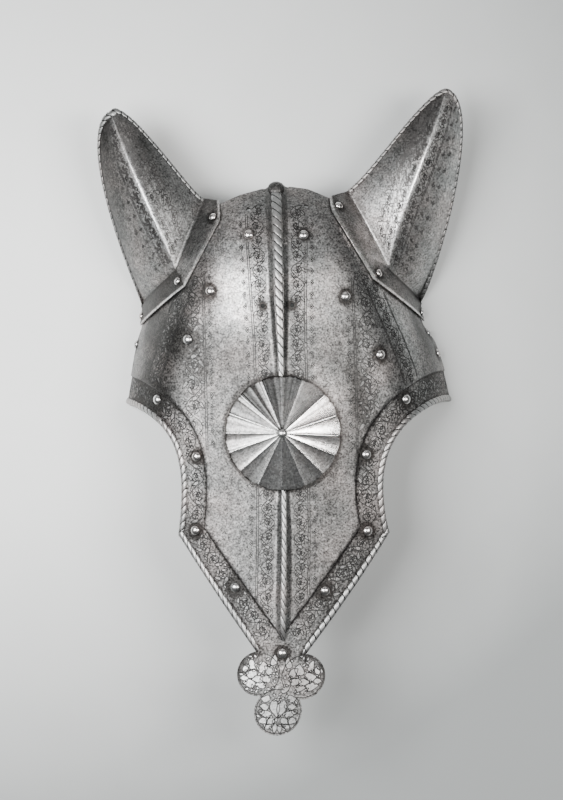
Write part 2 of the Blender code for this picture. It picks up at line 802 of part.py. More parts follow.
def flute_at(angle):
    """Zero on a ridge of the rondel, one in the middle of a petal."""
    return abs(math.sin(angle * RONDEL_PETALS / 2))


def rondel_height(radius, angle):
    """Height of the outer face of the rondel."""
    u = radius / RONDEL_RADIUS
    droop = RONDEL_DROOP * (math.cos(angle) * u)**2
    return RONDEL_RIM_Z + RONDEL_RISE * (1 - u) - PETAL_DEPTH * flute_at(angle) * u - droop


def rondel_mesh():
    """Petalled sheet round the origin, with its hole on the Z axis."""
    count = RONDEL_PETALS * POINTS_A_PETAL
    points = []
    for ring in range(len(RONDEL_RINGS) + 2):
        for k in range(count):
            angle = math.tau * k / count
            if ring == 0:
                radius = SHANK_HOLE_RADIUS
            elif ring <= len(RONDEL_RINGS):
                radius = MM * RONDEL_RINGS[ring - 1]
            else:
                radius = RONDEL_RADIUS + PETAL_BULGE * flute_at(angle)
            x = radius * math.cos(angle)
            y = radius * math.sin(angle)
            points.append(Vector((x, y, rondel_height(radius, angle))))
    faces = []
    for ring in range(len(RONDEL_RINGS) + 1):
        for k in range(count):
            following = (k + 1) % count
            faces.append((
                ring * count + k, (ring + 1) * count + k,
                (ring + 1) * count + following, ring * count + following))
    under = [p - Vector((0, 0, RONDEL_SHEET)) for p in points]
    return closed_mesh("rondel", points + under, close_sheet(faces, len(points)))


rondel_axis = Vector((station_at(RONDEL_RIVET_Y).median_x, RONDEL_RIVET_Y, 0)) + ORIGIN
add_object("rondel", rondel_mesh(), steel("rondel_steel", (0.42, 0.42, 0.43), 0.36), rondel_axis)


# ---------------------------------------------------------------------------
# rivets
# A domed head, a shank through its holes and a flat tail hammered over inside.

# Shares of the head's radius and height at the shoulder of its dome, and of the tail's radius
# at its face.
DOME_WIDTH = 0.62
DOME_HEIGHT = 0.78
TAIL_FACE = 0.9


def rivet_mesh(grip, head_radius, head_height):
    """Rivet on the Z axis: its head stands on z = 0 and its tail lies below the grip."""
    profile = [
        (0.0, head_height + PIECE_GAP),
        (DOME_WIDTH * head_radius, DOME_HEIGHT * head_height + PIECE_GAP),
        (head_radius, PIECE_GAP),
        (SHANK_RADIUS, PIECE_GAP),
        (SHANK_RADIUS, -grip - TAIL_GAP),
        (TAIL_RADIUS, -grip - TAIL_GAP),
        (TAIL_FACE * TAIL_RADIUS, -grip - TAIL_GAP - TAIL_HEIGHT),
        (0.0, -grip - TAIL_GAP - TAIL_HEIGHT),
    ]
    built = bmesh.new()
    corners = [built.verts.new((radius, 0, height)) for radius, height in profile]
    edges = [built.edges.new(pair) for pair in zip(corners, corners[1:])]
    bmesh.ops.spin(
        built, geom=corners + edges, axis=(0, 0, 1), cent=(0, 0, 0), angle=math.tau,
        steps=ROUND_SIDES, use_merge=True)
    bmesh.ops.remove_doubles(built, verts=built.verts, dist=0.01 * MM)
    bmesh.ops.recalc_face_normals(built, faces=built.faces)
    mesh = bpy.data.meshes.new("rivet")
    built.to_mesh(mesh)
    built.free()
    return mesh


rivet_steel = steel("rivet_steel", (0.5, 0.5, 0.51), 0.3)
rivet_meshes = {}
for rivet in RIVETS:
    normal = normal_at(rivet.a, rivet.y)
    stack = FLANGE_GAP + EAR_SHEET if rivet.seat == "flange" else 0
    kind = (PLATE_SHEET + stack, rivet.head_radius, rivet.head_height)
    if kind not in rivet_meshes:
        rivet_meshes[kind] = rivet_mesh(*kind)
    level = band_level(rivet.a, rivet.y) + stack
    place = surface(rivet.a, rivet.y) + normal * level + ORIGIN
    piece = add_object(rivet.name, rivet_meshes[kind], rivet_steel, place)
    piece.rotation_euler = normal.to_track_quat("Z", "Y").to_euler()

# The rondel's rivet reaches from its seat on the cone down through the ridge.
RONDEL_HEAD_RADIUS = 3.6 * MM
RONDEL_HEAD_HEIGHT = 2.8 * MM
rondel_seat = rondel_height(SHANK_HOLE_RADIUS, 0)
rondel_grip = rondel_seat - surface(0, RONDEL_RIVET_Y).z + PLATE_SHEET
add_object(
    "rondel_rivet", rivet_mesh(rondel_grip, RONDEL_HEAD_RADIUS, RONDEL_HEAD_HEIGHT),
    rivet_steel, rondel_axis + Vector((0, 0, rondel_seat)))
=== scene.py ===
"""Looks of a half shaffron, the steel armour for the upper front of a horse's head.

The script follows the armour as it is put together: the table it lies on, the skull plate with
its ropes, the ear guards, the rondel, the rivets and the etched ornament. Lengths in the tables
are millimetres, everything that is built is in metres.
"""
import math

import bpy
import numpy as np
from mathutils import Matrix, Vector
from mathutils.geometry import delaunay_2d_cdt


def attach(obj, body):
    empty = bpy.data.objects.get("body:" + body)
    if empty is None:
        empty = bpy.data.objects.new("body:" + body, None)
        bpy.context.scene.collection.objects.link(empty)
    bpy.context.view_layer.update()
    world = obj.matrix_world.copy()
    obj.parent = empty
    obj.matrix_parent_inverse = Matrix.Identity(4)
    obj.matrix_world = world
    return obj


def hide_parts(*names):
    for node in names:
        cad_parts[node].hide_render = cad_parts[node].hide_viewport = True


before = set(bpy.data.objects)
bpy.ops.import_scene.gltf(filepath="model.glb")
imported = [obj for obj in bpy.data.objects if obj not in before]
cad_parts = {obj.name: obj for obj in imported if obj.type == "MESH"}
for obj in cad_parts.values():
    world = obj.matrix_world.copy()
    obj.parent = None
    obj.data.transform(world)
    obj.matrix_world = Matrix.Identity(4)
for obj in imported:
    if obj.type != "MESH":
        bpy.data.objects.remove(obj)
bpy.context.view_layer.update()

MM = 0.001

# ---------------------------------------------------------------------------
# table
# A wide sheet of pale matt paper board. The armour lies on it hollow side down.

TABLE_SIDE = 16.0
TABLE_TOP = -0.1 * MM
# Centre of the painted pool of light on the paper, left of the armour.
PAINTED_LIGHT_CENTRE = (-0.27, 0.03, 0.0)


def linear(colour):
    """Linear colour of a six digit sRGB value."""
    parts = [int(colour[k:k + 2], 16) / 255 for k in (0, 2, 4)]
    return [v / 12.92 if v <= 0.04045 else ((v + 0.055) / 1.055)**2.4 for v in parts] + [1.0]


def fill_inputs(tree, node, inputs):
    """Fill inputs with values, outputs or nodes. A node gives its first output in use."""
    for key, value in inputs.items() if isinstance(inputs, dict) else enumerate(inputs):
        if isinstance(value, bpy.types.Node):
            value = next(output for output in value.outputs if output.enabled)
        if isinstance(value, bpy.types.NodeSocket):
            tree.links.new(value, node.inputs[key])
        else:
            node.inputs[key].default_value = value


def add_node(tree, kind, settings=None, inputs=()):
    """Add a node, make its settings and fill its inputs."""
    made = tree.nodes.new(kind)
    for name, value in (settings or {}).items():
        setattr(made, name, value)
    fill_inputs(tree, made, inputs)
    return made


def new_material(name):
    """New material, its node tree, its shader and the place of each point on the piece."""
    made = bpy.data.materials.new(name)
    made.use_nodes = True
    tree = made.node_tree
    place = add_node(tree, "ShaderNodeTexCoord").outputs["Object"]
    return made, tree, tree.nodes["Principled BSDF"], place


def in_scene(name, data):
    """Object made of a mesh, a lamp or a camera, linked to the scene."""
    made = bpy.data.objects.new(name, data)
    bpy.context.scene.collection.objects.link(made)
    return made


def new_object(name, vertices, faces, material):
    """Object of one mesh with one material, shaded smooth, in its place."""
    mesh = bpy.data.meshes.new(name)
    mesh.from_pydata([tuple(p) for p in vertices], [], faces)
    mesh.materials.append(material)
    mesh.shade_smooth()
    return in_scene(name, mesh)


# Matt paper with a painted light falloff: painted lightest left of the armour, painted darker to
# the right and below the nose, with a faint unevenness of four centimetres.
paper, tree, shader, place = new_material("matt_paper_painted_light_falloff")
cloud = add_node(tree, "ShaderNodeTexNoise", inputs={
    "Vector": place, "Scale": 1 / (40 * MM), "Detail": 3.0})
away = add_node(tree, "ShaderNodeVectorMath", {"operation": "DISTANCE"}, (place, PAINTED_LIGHT_CENTRE))
away = add_node(tree, "ShaderNodeMapRange", inputs={
    "Value": away, "From Min": 0.12, "From Max": 0.67})
below = add_node(tree, "ShaderNodeSeparateXYZ", inputs=(place,)).outputs["Y"]
below = add_node(tree, "ShaderNodeMapRange", inputs={
    "Value": below, "From Min": 0.0, "From Max": -0.35, "To Max": 0.40})
shade = add_node(tree, "ShaderNodeMath", {"operation": "ADD"}, (away, below))
uneven = add_node(tree, "ShaderNodeMath", {"operation": "MULTIPLY_ADD"}, (cloud, 0.05, shade))
tone = add_node(tree, "ShaderNodeMix", {"data_type": "RGBA"}, {
    "Factor": uneven, "A": linear("f3f5f4"), "B": linear("8e9191")})
fill_inputs(tree, shader, {"Base Color": tone, "Roughness": 0.9, "Specular IOR Level": 0.1})

half = TABLE_SIDE / 2
square = ((-half, -half), (half, -half), (half, half), (-half, half))
table = new_object("table", [(x, y, TABLE_TOP) for x, y in square], [(0, 1, 2, 3)], paper)


# ---------------------------------------------------------------------------
# light and camera
# Two large soft boxes stand left and right of the camera, which looks straight down. A third
# lights the armour faintly from beyond the ears.

# The tables of the armour are drawn about a point on the forehead, which stands here. The
# camera is straight above it.
SHIFT = MM * np.array((1.06, 7.61, 0.0))
CAMERA_HEIGHT = 2.110


def soft_box(name, place, size, power, colour):
    """Rectangular area light that faces the middle of the armour."""
    lamp = bpy.data.lights.new(name, "AREA")
    lamp.shape = "RECTANGLE"
    lamp.size, lamp.size_y = size
    lamp.energy = power
    lamp.color = linear(colour)[:3]
    made = in_scene(name, lamp)
    made.location = place
    toward = Vector((0, 0, 0.1)) - Vector(place)
    made.rotation_euler = toward.to_track_quat("-Z", "Y").to_euler()


soft_box("soft_box_left", (-0.76, 0.12, 1.40), (0.66, 1.10), 52, "ffffff")
soft_box("soft_box_right", (0.78, 0.10, 1.42), (0.36, 0.90), 25, "fffdfb")
soft_box("soft_box_behind", (0.0, 1.9, 0.75), (2.2, 0.9), 7, "ffffff")

world = bpy.data.worlds.new("studio")
world.use_nodes = True
fill_inputs(world.node_tree, world.node_tree.nodes["Background"], {
    "Color": linear("8d8f90"), "Strength": 0.34})
bpy.context.scene.world = world

lens = bpy.data.cameras.new("camera")
lens.sensor_fit = "VERTICAL"
lens.sensor_height = 24
lens.lens = 75
lens.clip_end = 30
camera = in_scene("camera", lens)
camera.location = SHIFT + (0, 0, CAMERA_HEIGHT)
bpy.context.scene.camera = camera


# ---------------------------------------------------------------------------
# skull plate
# One sheet of steel about 1.5 mm thick, raised and filed by hand. Its border is sunk behind a
# narrow step and the sheet ends below in a trefoil.

STATIONS = MM * np.array((
    # y, median x, crown z, crown radius, crease x, rim left, rim right
    (-270, -2.8, 99.0, 200, 104, 150.0, 155.0),
    (-205, 0.6, 101.5, 165, 104, 148.0, 153.0),
    (-110, 2.2, 107.0, 165, 104, 144.0, 150.0),
    (-27, 0.8, 111.2, 185, 102, 136.0, 147.0),
    (14, 0.0, 112.0, 190, 97, 128.3, 140.5),
    (48, -1.0, 111.8, 185, 86, 121.2, 131.2),
    (64, -1.5, 111.0, 178, 80, 116.0, 121.2),
    (80, -2.0, 109.5, 170, 73, 113.5, 118.0),
    (115, -2.8, 103.5, 145, 60, 104.0, 107.0),
    (145, -3.8, 91.5, 120, 49, 93.0, 95.0),
    (165, -4.3, 76.0, 100, 43, 84.0, 86.0),
    (180, -4.6, 58.0, 90, 40, 78.0, 80.0),
))
SIDE_BULGE = 0.08
CREASE_HALF = 14 * MM
PLATE_SHEET = 1.5 * MM
# Longest stretch of a straight edge and of the poll edge, spacing of the mesh, and steps round
# a trefoil disc, an eye cut and a hole.
EDGE_STEP = 7 * MM
POLL_STEP = 6 * MM
PLATE_GRID = 5 * MM
DISC_STEPS = 36
CUT_STEPS = 48
HOLE_STEPS = 20


def station_at(y):
    """Sizes of the section at each y: median x, crown z, crown radius, crease x, both rims."""
    y = np.clip(y, STATIONS[0, 0], STATIONS[-1, 0])
    i = np.clip(np.searchsorted(STATIONS[:, 0], y, side="right") - 1, 0, len(STATIONS) - 2)
    low = STATIONS[i]
    high = STATIONS[i + 1]
    before = STATIONS[np.maximum(i - 1, 0)]
    after = STATIONS[np.minimum(i + 2, len(STATIONS) - 1)]
    span = high[:, :1] - low[:, :1]
    u = (y[:, None] - low[:, :1]) / span
    slope_low = (high - before) / (high[:, :1] - before[:, :1]) * span
    slope_high = (after - low) / (after[:, :1] - low[:, :1]) * span
    sizes = ((2 * u**3 - 3 * u**2 + 1) * low + (u**3 - 2 * u**2 + u) * slope_low
             + (3 * u**2 - 2 * u**3) * high + (u**3 - u**2) * slope_high)
    return sizes[:, 1:].T


def side_chord(y, side):
    """Length of the front arc, the crease point and the line from the crease to the rim."""
    _, crown_z, radius, crease_x, rim_left, rim_right = station_at(y)
    turn = np.arcsin(crease_x / radius)
    crease = np.stack((crease_x, crown_z - radius * (1 - np.cos(turn))), 1)
    rim = np.stack((np.where(side < 0, rim_left, rim_right), 0 * crease_x), 1)
    return radius * turn, crease, rim - crease


def bent(start, corner, end, w):
    """Points of the curve that leaves start toward a corner and reaches end at w = 1."""
    return start * (1 - w)**2 + corner * (2 * w * (1 - w)) + end * w**2


def surface(a, y):
    """Points of the smooth outer face for places on the flat pattern.

    The flat pattern measures a along the section from the median line and keeps y.
    """
    median_x, crown_z, radius, _, _, _ = station_at(y)
    front, crease, chord = side_chord(y, a)
    length = np.linalg.norm(chord, axis=1)
    outward = np.stack((-chord[:, 1], chord[:, 0]), 1) / length[:, None]

    def on_front(s):
        angle = s / radius
        return np.stack((radius * np.sin(angle), crown_z - radius * (1 - np.cos(angle))), 1)

    def on_side(s):
        u = s / length
        bulge = 4 * SIDE_BULGE * length * u * (1 - u)
        return crease + chord * u[:, None] + outward * bulge[:, None]

    s = abs(a) - front
    w = np.clip((s + CREASE_HALF) / (2 * CREASE_HALF), 0, 1)[:, None]
    bend = bent(on_front(front - CREASE_HALF), crease, on_side(0 * s + CREASE_HALF), w)
    p = np.where((s <= -CREASE_HALF)[:, None], on_front(abs(a)), bend)
    p = np.where((s >= CREASE_HALF)[:, None], on_side(s), p)
    return np.stack((median_x + np.copysign(p[:, 0], a), y, p[:, 1]), 1) + SHIFT


def unit(v):
    """Vectors brought to length one."""
    return v / np.maximum(np.linalg.norm(v, axis=-1, keepdims=True), 1e-12)


def slopes_at(a, y):
    """How the outer face runs for a step across the flat pattern and for a step up it."""
    step = 0.5 * MM
    return ((surface(a + step, y) - surface(a - step, y)) / (2 * step),
            (surface(a, y + step) - surface(a, y - step)) / (2 * step))


def normal_at(a, y):
    """Directions that stand square on the outer face."""
    return unit(np.cross(*slopes_at(a, y)))


def rim_arc(y, side):
    """Place of the rim on the flat pattern."""
    y = np.atleast_1d(y)
    front, _, chord = side_chord(y, side)
    return side * (front + np.linalg.norm(chord, axis=1))


def arc_at(x, y):
    """Place on the flat pattern of points seen at x from the front."""
    x = np.atleast_1d(x)
    y = np.atleast_1d(y)
    median_x = station_at(y)[0]
    side = np.where(x < median_x, -1, 1)
    low = 0.0 * x
    high = abs(rim_arc(y, side))
    for _ in range(30):
        middle = (low + high) / 2
        inside = abs(surface(side * middle, y)[:, 0] - SHIFT[0] - median_x) < abs(x - median_x)
        low = np.where(inside, middle, low)
        high = np.where(inside, high, middle)
    return side * low


def bezier(p, t):
    """Points on a cubic curve given by its four control points."""
    t = np.asarray(t)[:, None]
    return (p[0] * (1 - t)**3 + p[1] * (3 * t * (1 - t)**2)
            + p[2] * (3 * t**2 * (1 - t)) + p[3] * t**3)


def split(line, longest):
    """Add points to a line so that no stretch of it is longer than the length given."""
    points = [line[:1]]
    for p, q in zip(line, line[1:]):
        count = max(1, math.ceil(np.linalg.norm(q - p) / longest))
        points.append(p + (q - p) * (np.arange(1, count + 1) / count)[:, None])
    return np.concatenate(points)


def offset(line, distance):
    """Line parallel to an open line, on its left, with mitred corners."""
    run = unit(np.diff(line, axis=0))
    before = np.concatenate((run[:1], run))
    after = np.concatenate((run, run[-1:]))
    mean = unit(before + after)
    left = np.stack((-mean[:, 1], mean[:, 0]), 1)
    return line + left * (distance / np.sum(mean * after, axis=1))[:, None]


def distance_to(line, points):
    """Shortest distance from each point to a line."""
    best = np.full(len(points), np.inf)
    for q, r in zip(line, line[1:]):
        run = r - q
        u = np.clip((points - q) @ run / (run @ run), 0, 1)
        best = np.minimum(best, np.linalg.norm(q + u[:, None] * run - points, axis=1))
    return best


def inside(loop, points):
    """Whether each point lies inside a closed loop."""
    hit = np.zeros(len(points), bool)
    for q, r in zip(loop, np.roll(loop, -1, axis=0)):
        if q[1] != r[1]:
            crossing = q[0] + (r[0] - q[0]) * (points[:, 1] - q[1]) / (r[1] - q[1])
            hit ^= ((q[1] > points[:, 1]) != (r[1] > points[:, 1])) & (points[:, 0] < crossing)
    return hit


NOSE_DISCS = MM * np.array((
    # a, y, radius
    (-18.1, -220.3, 18.2),
    (-1.1, -250.7, 19.5),
    (17.4, -222.7, 18.5),
))
TAPER_START = {-1: MM * np.array((-21.5, -202.3)), 1: MM * np.array((18.7, -205.4))}
EYE_CUT = {
    -1: MM * np.array(((-91.2, -108.9), (-75.2, -20.2), (-103.9, -4.9))),
    1: MM * np.array(((90.4, -107.7), (65.8, -23.7), (121.3, 3.2))),
}
EYE_CUT_END_Y = {-1: -2.9 * MM, 1: -0.9 * MM}
RIM_END_Y = 80 * MM
EAR_BEND = {
    -1: MM * np.array(((-63.0, 164.7), (-85.4, 106.3), (-118.0, 80.2))),
    1: MM * np.array(((53.3, 171.0), (86.7, 108.4), (119.0, 81.9))),
}
NOTCH_SETBACK = 1.6 * MM
POLL_EDGE = MM * np.array((
    (60, 160.0), (47.3, 164.5), (37, 168.5), (25.7, 172.8), (11.5, 174.6), (0, 171.5),
    (-11.5, 172.6), (-30, 167.4), (-46.7, 160.9), (-62, 155.0)))

BAND_WIDTH = {-1: 23.5 * MM, 1: 25.3 * MM}
BAND_DEPTH = 1.2 * MM
STEP_RUN = 1.2 * MM
EDGE_ROPE_RADIUS = 2.6 * MM
# Below this the two border bands have met and the whole sheet is sunk.
FIELD_END_Y = -198 * MM

RIDGE = MM * np.array((
    # y, rope radius, half width of the flanks, height
    (-194, 0.4, 1.5, 0.0),
    (-190, 2.0, 4.5, 1.2),
    (-182, 2.4, 6.5, 2.8),
    (-160, 2.4, 7.5, 4.0),
    (-105, 2.1, 6.5, 4.6),
    (-78, 2.1, 6.0, 2.8),
    (-26, 2.0, 6.0, 1.6),
    (24, 2.3, 6.2, 2.0),
    (80, 3.7, 8.5, 4.6),
    (185, 4.5, 9.5, 6.0),
))
# The lines of the ridge run on to here, past the poll edge.
RIDGE_LINES_END_Y = 181 * MM
# Points this close to the rim lie on it.
RIM_SNAP = 0.3 * MM


def ridge_at(y):
    """Rope radius, half width and height of the median ridge."""
    return [np.interp(y, RIDGE[:, 0], RIDGE[:, k]) for k in (1, 2, 3)]


def bordered_edge(side):
    """Roped edge from the nose along the taper and round the eye cut to the rim."""
    end_y = EYE_CUT_END_Y[side]
    cut = np.concatenate((EYE_CUT[side], [(rim_arc(end_y, side)[0], end_y)]))
    taper = split(np.array((TAPER_START[side], cut[0])), EDGE_STEP)
    return np.concatenate((taper, bezier(cut, np.arange(1, CUT_STEPS + 1) / CUT_STEPS)))


EDGES = {side: bordered_edge(side) for side in (-1, 1)}


def band_width(a):
    """Width of the border band on the side that each place lies on."""
    return np.where(a < 0, BAND_WIDTH[-1], BAND_WIDTH[1])


def edge_reach(a, y):
    """Distance from the roped edge on the same side."""
    points = np.stack((a, y), 1)
    return np.where(a < 0, distance_to(EDGES[-1], points), distance_to(EDGES[1], points))


def band_level(a, y):
    """Level of the plate: zero on the field, sunk in the border band and on the nose."""
    u = (edge_reach(a, y) - band_width(a)) / STEP_RUN + 0.5
    u = np.clip(u, 0, 1) * (y > FIELD_END_Y)
    return -BAND_DEPTH * (1 - u * u * (3 - 2 * u))


def ridge_level(a, y):
    """Height of the hollow flanks of the median ridge."""
    rope, half_width, height = ridge_at(y)
    return height * np.clip((half_width - abs(a)) / (half_width - rope), 0, 1)**1.5


def lifted(a, y, height):
    """Points above or below the outer face. On the rim they stay at z = 0."""
    side = np.where(a < 0, -1, 1)
    arc = rim_arc(y, side)
    rim = surface(arc, y)
    rim[:, 0] += side * height
    rim[:, 2] = 0
    raised = surface(a, y) + normal_at(a, y) * height[:, None]
    return np.where((abs(a) > abs(arc) - RIM_SNAP)[:, None], rim, raised)


def nose_outline():
    """Trefoil from the left end of the taper round to the right end."""
    start = TAPER_START[-1]
    points = []
    for i, (a, y, radius) in enumerate(NOSE_DISCS):
        centre = np.array((a, y))
        end = TAPER_START[1]
        if i < 2:
            line = NOSE_DISCS[i + 1, :2] - centre
            far = np.linalg.norm(line)
            along = (far**2 + radius**2 - NOSE_DISCS[i + 1, 2]**2) / (2 * far)
            forward = line / far
            across = np.array((forward[1], -forward[0]))
            end = centre + forward * along + across * math.sqrt(radius**2 - along**2)
        begin = math.atan2(*(start - centre)[::-1])
        turn = (math.atan2(*(end - centre)[::-1]) - begin) % math.tau
        angle = begin + turn * np.arange(DISC_STEPS) / DISC_STEPS
        points.append(centre + radius * np.stack((np.cos(angle), np.sin(angle)), 1))
        start = end
    points[0][0] = TAPER_START[-1]
    return np.concatenate(points)


def rim_line(side):
    """Plain lower edge beside the eye cut, where the plate rests on the table."""
    ys = np.linspace(EYE_CUT_END_Y[side], RIM_END_Y, 25)
    return np.stack((rim_arc(ys, side), ys), 1)


def notch_line(side):
    """Edge under the ear guard, set back from its bend."""
    corner = offset(EAR_BEND[side], side * NOTCH_SETBACK)[1]
    corner = np.array((arc_at(*corner)[0], corner[1]))
    poll_end = POLL_EDGE[0] if side > 0 else POLL_EDGE[-1]
    return split(np.array((rim_line(side)[-1], corner, poll_end)), EDGE_STEP)


def plate_outline():
    """Edge of the plate, from the left end of the taper round by the nose and the poll."""
    left, right = (np.concatenate((EDGES[side], rim_line(side)[1:], notch_line(side)[1:]))
                   for side in (-1, 1))
    return np.concatenate((
        nose_outline(), right, split(POLL_EDGE, POLL_STEP)[1:-1], left[::-1][:-1]))


def step_lines():
    """Top and foot of the step behind the border band."""
    lines = []
    for side in (-1, 1):
        beyond = EDGES[side][-1] + (side * 6 * MM, 0)
        edge = np.concatenate((EDGES[side], [beyond]))
        for half_step in (-0.5, 0.0, 0.5):
            line = offset(edge, side * (BAND_WIDTH[side] + half_step * STEP_RUN))
            lines.append(line[side * line[:, 0] > 0])
    return lines


def ridge_lines():
    """Median line, sides of the rope and its hollow flanks, on past the poll edge."""
    ys = np.linspace(RIDGE[0, 0], RIDGE_LINES_END_Y, 90)
    rope, half_width, _ = ridge_at(ys)
    lines = []
    for side in (-1, 1):
        for u in (-1.0, 0.0, 0.15, 0.35, 0.6, 1.0):
            reach = rope * (1 + u) if u < 0 else rope + u * (half_width - rope)
            lines.append(np.stack((side * reach, ys), 1))
    return lines[1:]


def crease_lines():
    """Lines along the rounded crease between the front and the sides."""
    ys = np.linspace(STATIONS[0, 0], STATIONS[-1, 0], 60)
    lines = []
    for side in (-1, 1):
        front, _, _ = side_chord(ys, side)
        for reach in (-1.0, -0.5, 0.0, 0.5, 1.0):
            lines.append(np.stack((side * (front + reach * CREASE_HALF), ys), 1))
    return lines


def fill_outline(outline, holes, lines, spacing):
    """Fill the outline with triangles that keep the holes, the lines and an even grid."""
    points = []
    edges = []
    for line, closed in [(loop, 1) for loop in [outline] + holes] + [(line, 0) for line in lines]:
        start = len(points)
        points += [Vector(p) for p in line]
        edges += [(start + k, start + k + 1) for k in range(len(line) - 1)]
        if closed:
            edges.append((len(points) - 1, start))
    low = outline.min(0)
    row_height = spacing * math.sqrt(3) / 2
    rows = np.arange(low[1] + row_height, outline[:, 1].max(), row_height)
    columns = np.arange(low[0], outline[:, 0].max(), spacing)
    grid = np.concatenate([
        np.stack((columns + spacing / 2 * (r % 2), 0 * columns + y), 1) for r, y in enumerate(rows)])
    grid = grid[inside(outline, grid)]
    for line in [np.concatenate((loop, loop[:1])) for loop in [outline] + holes] + lines:
        grid = grid[distance_to(line, grid) > 0.5 * spacing]
    points += [Vector(p) for p in grid]
    corners, _, triangles, _, _, _ = delaunay_2d_cdt(points, edges, [], 0, 1e-7)
    corners = np.array([c[:] for c in corners])
    triangles = np.array(triangles)
    middle = corners[triangles].mean(1)
    kept = inside(outline, middle)
    for hole in holes:
        kept &= ~inside(hole, middle)
    return corners, triangles[kept]


def halved(corners, triangles):
    """Each triangle cut into smaller faces in its own plane."""
    mesh = bpy.data.meshes.new("pattern")
    mesh.from_pydata([(a, y, 0) for a, y in corners], [], triangles.tolist())
    pattern = in_scene("pattern", mesh)
    cut = pattern.modifiers.new("cut", "SUBSURF")
    cut.subdivision_type = "SIMPLE"
    cut.levels = 1
    done = pattern.evaluated_get(bpy.context.evaluated_depsgraph_get()).data
    places = np.array([v.co[:2] for v in done.vertices])
    faces = [tuple(face.vertices) for face in done.polygons]
    bpy.data.objects.remove(pattern)
    used = np.unique(np.concatenate([np.array(face) for face in faces]))
    names = np.zeros(len(places), int)
    names[used] = np.arange(len(used))
    return places[used], [tuple(int(names[i]) for i in face) for face in faces]


def close_sheet(faces, count):
    """Double a sheet of faces: the outer ones, the inner ones turned over, and the edge wall."""
    used = set()
    for face in faces:
        used.update(zip(face, face[1:] + face[:1]))
    inner = [tuple(count + i for i in reversed(face)) for face in faces]
    wall = [(j, i, count + i, count + j) for i, j in used if (j, i) not in used]
    return list(faces) + inner + wall


def rivets_of(head_radius, head_height, *places):
    """Rivets of one size: their places (a, y) and the radius and height of their heads."""
    return MM * np.array([(a, y, head_radius, head_height) for a, y in places])


PLATE_RIVETS = np.concatenate((
    rivets_of(4.0, 3.2, (-23.1, 133.3), (21.1, 132.9), (-56.0, 87.8), (54.5, 83.4),
              (-76.3, 48.7), (82.8, 36.5), (-109.1, 0.3), (107.9, 0.6), (-71.8, -45.7),
              (69.2, -44.0), (-74.6, -105.4), (69.8, -105.6), (-39.6, -150.7), (33.7, -153.4)),
    rivets_of(4.2, 3.4, (0.0, -203.7))))
STRAP_RIVETS = rivets_of(3.4, 2.4, (-172.0, 46.5), (175.0, 56.3), (179.0, 39.3))
# Round holes. The first two stand beside the ridge and take the cord of a plume.
HOLES = MM * np.array((
    # a, y, radius
    (-13.1, 75.3, 1.7),
    (10.5, 75.9, 1.7),
    (-23.2, 154.4, 1.9),
    (24.4, 157.4, 1.9),
    (-174.0, 29.0, 2.0),
))
PLUME_HOLES = HOLES[:2]


def hole_loop(a, y, radius):
    """Flat pattern outline of a round hole drilled square to the plate."""
    place = np.array(((a,), (y,)))
    along, up = (slope[0] for slope in slopes_at(*place))
    across = unit(along)
    forward = np.cross(normal_at(*place)[0], across)
    angle = math.tau * np.arange(HOLE_STEPS) / HOLE_STEPS
    dy = radius * np.sin(angle) / (up @ forward)
    da = (radius * np.cos(angle) - dy * (up @ across)) / np.linalg.norm(along)
    return np.stack((a + da, y + dy), 1)


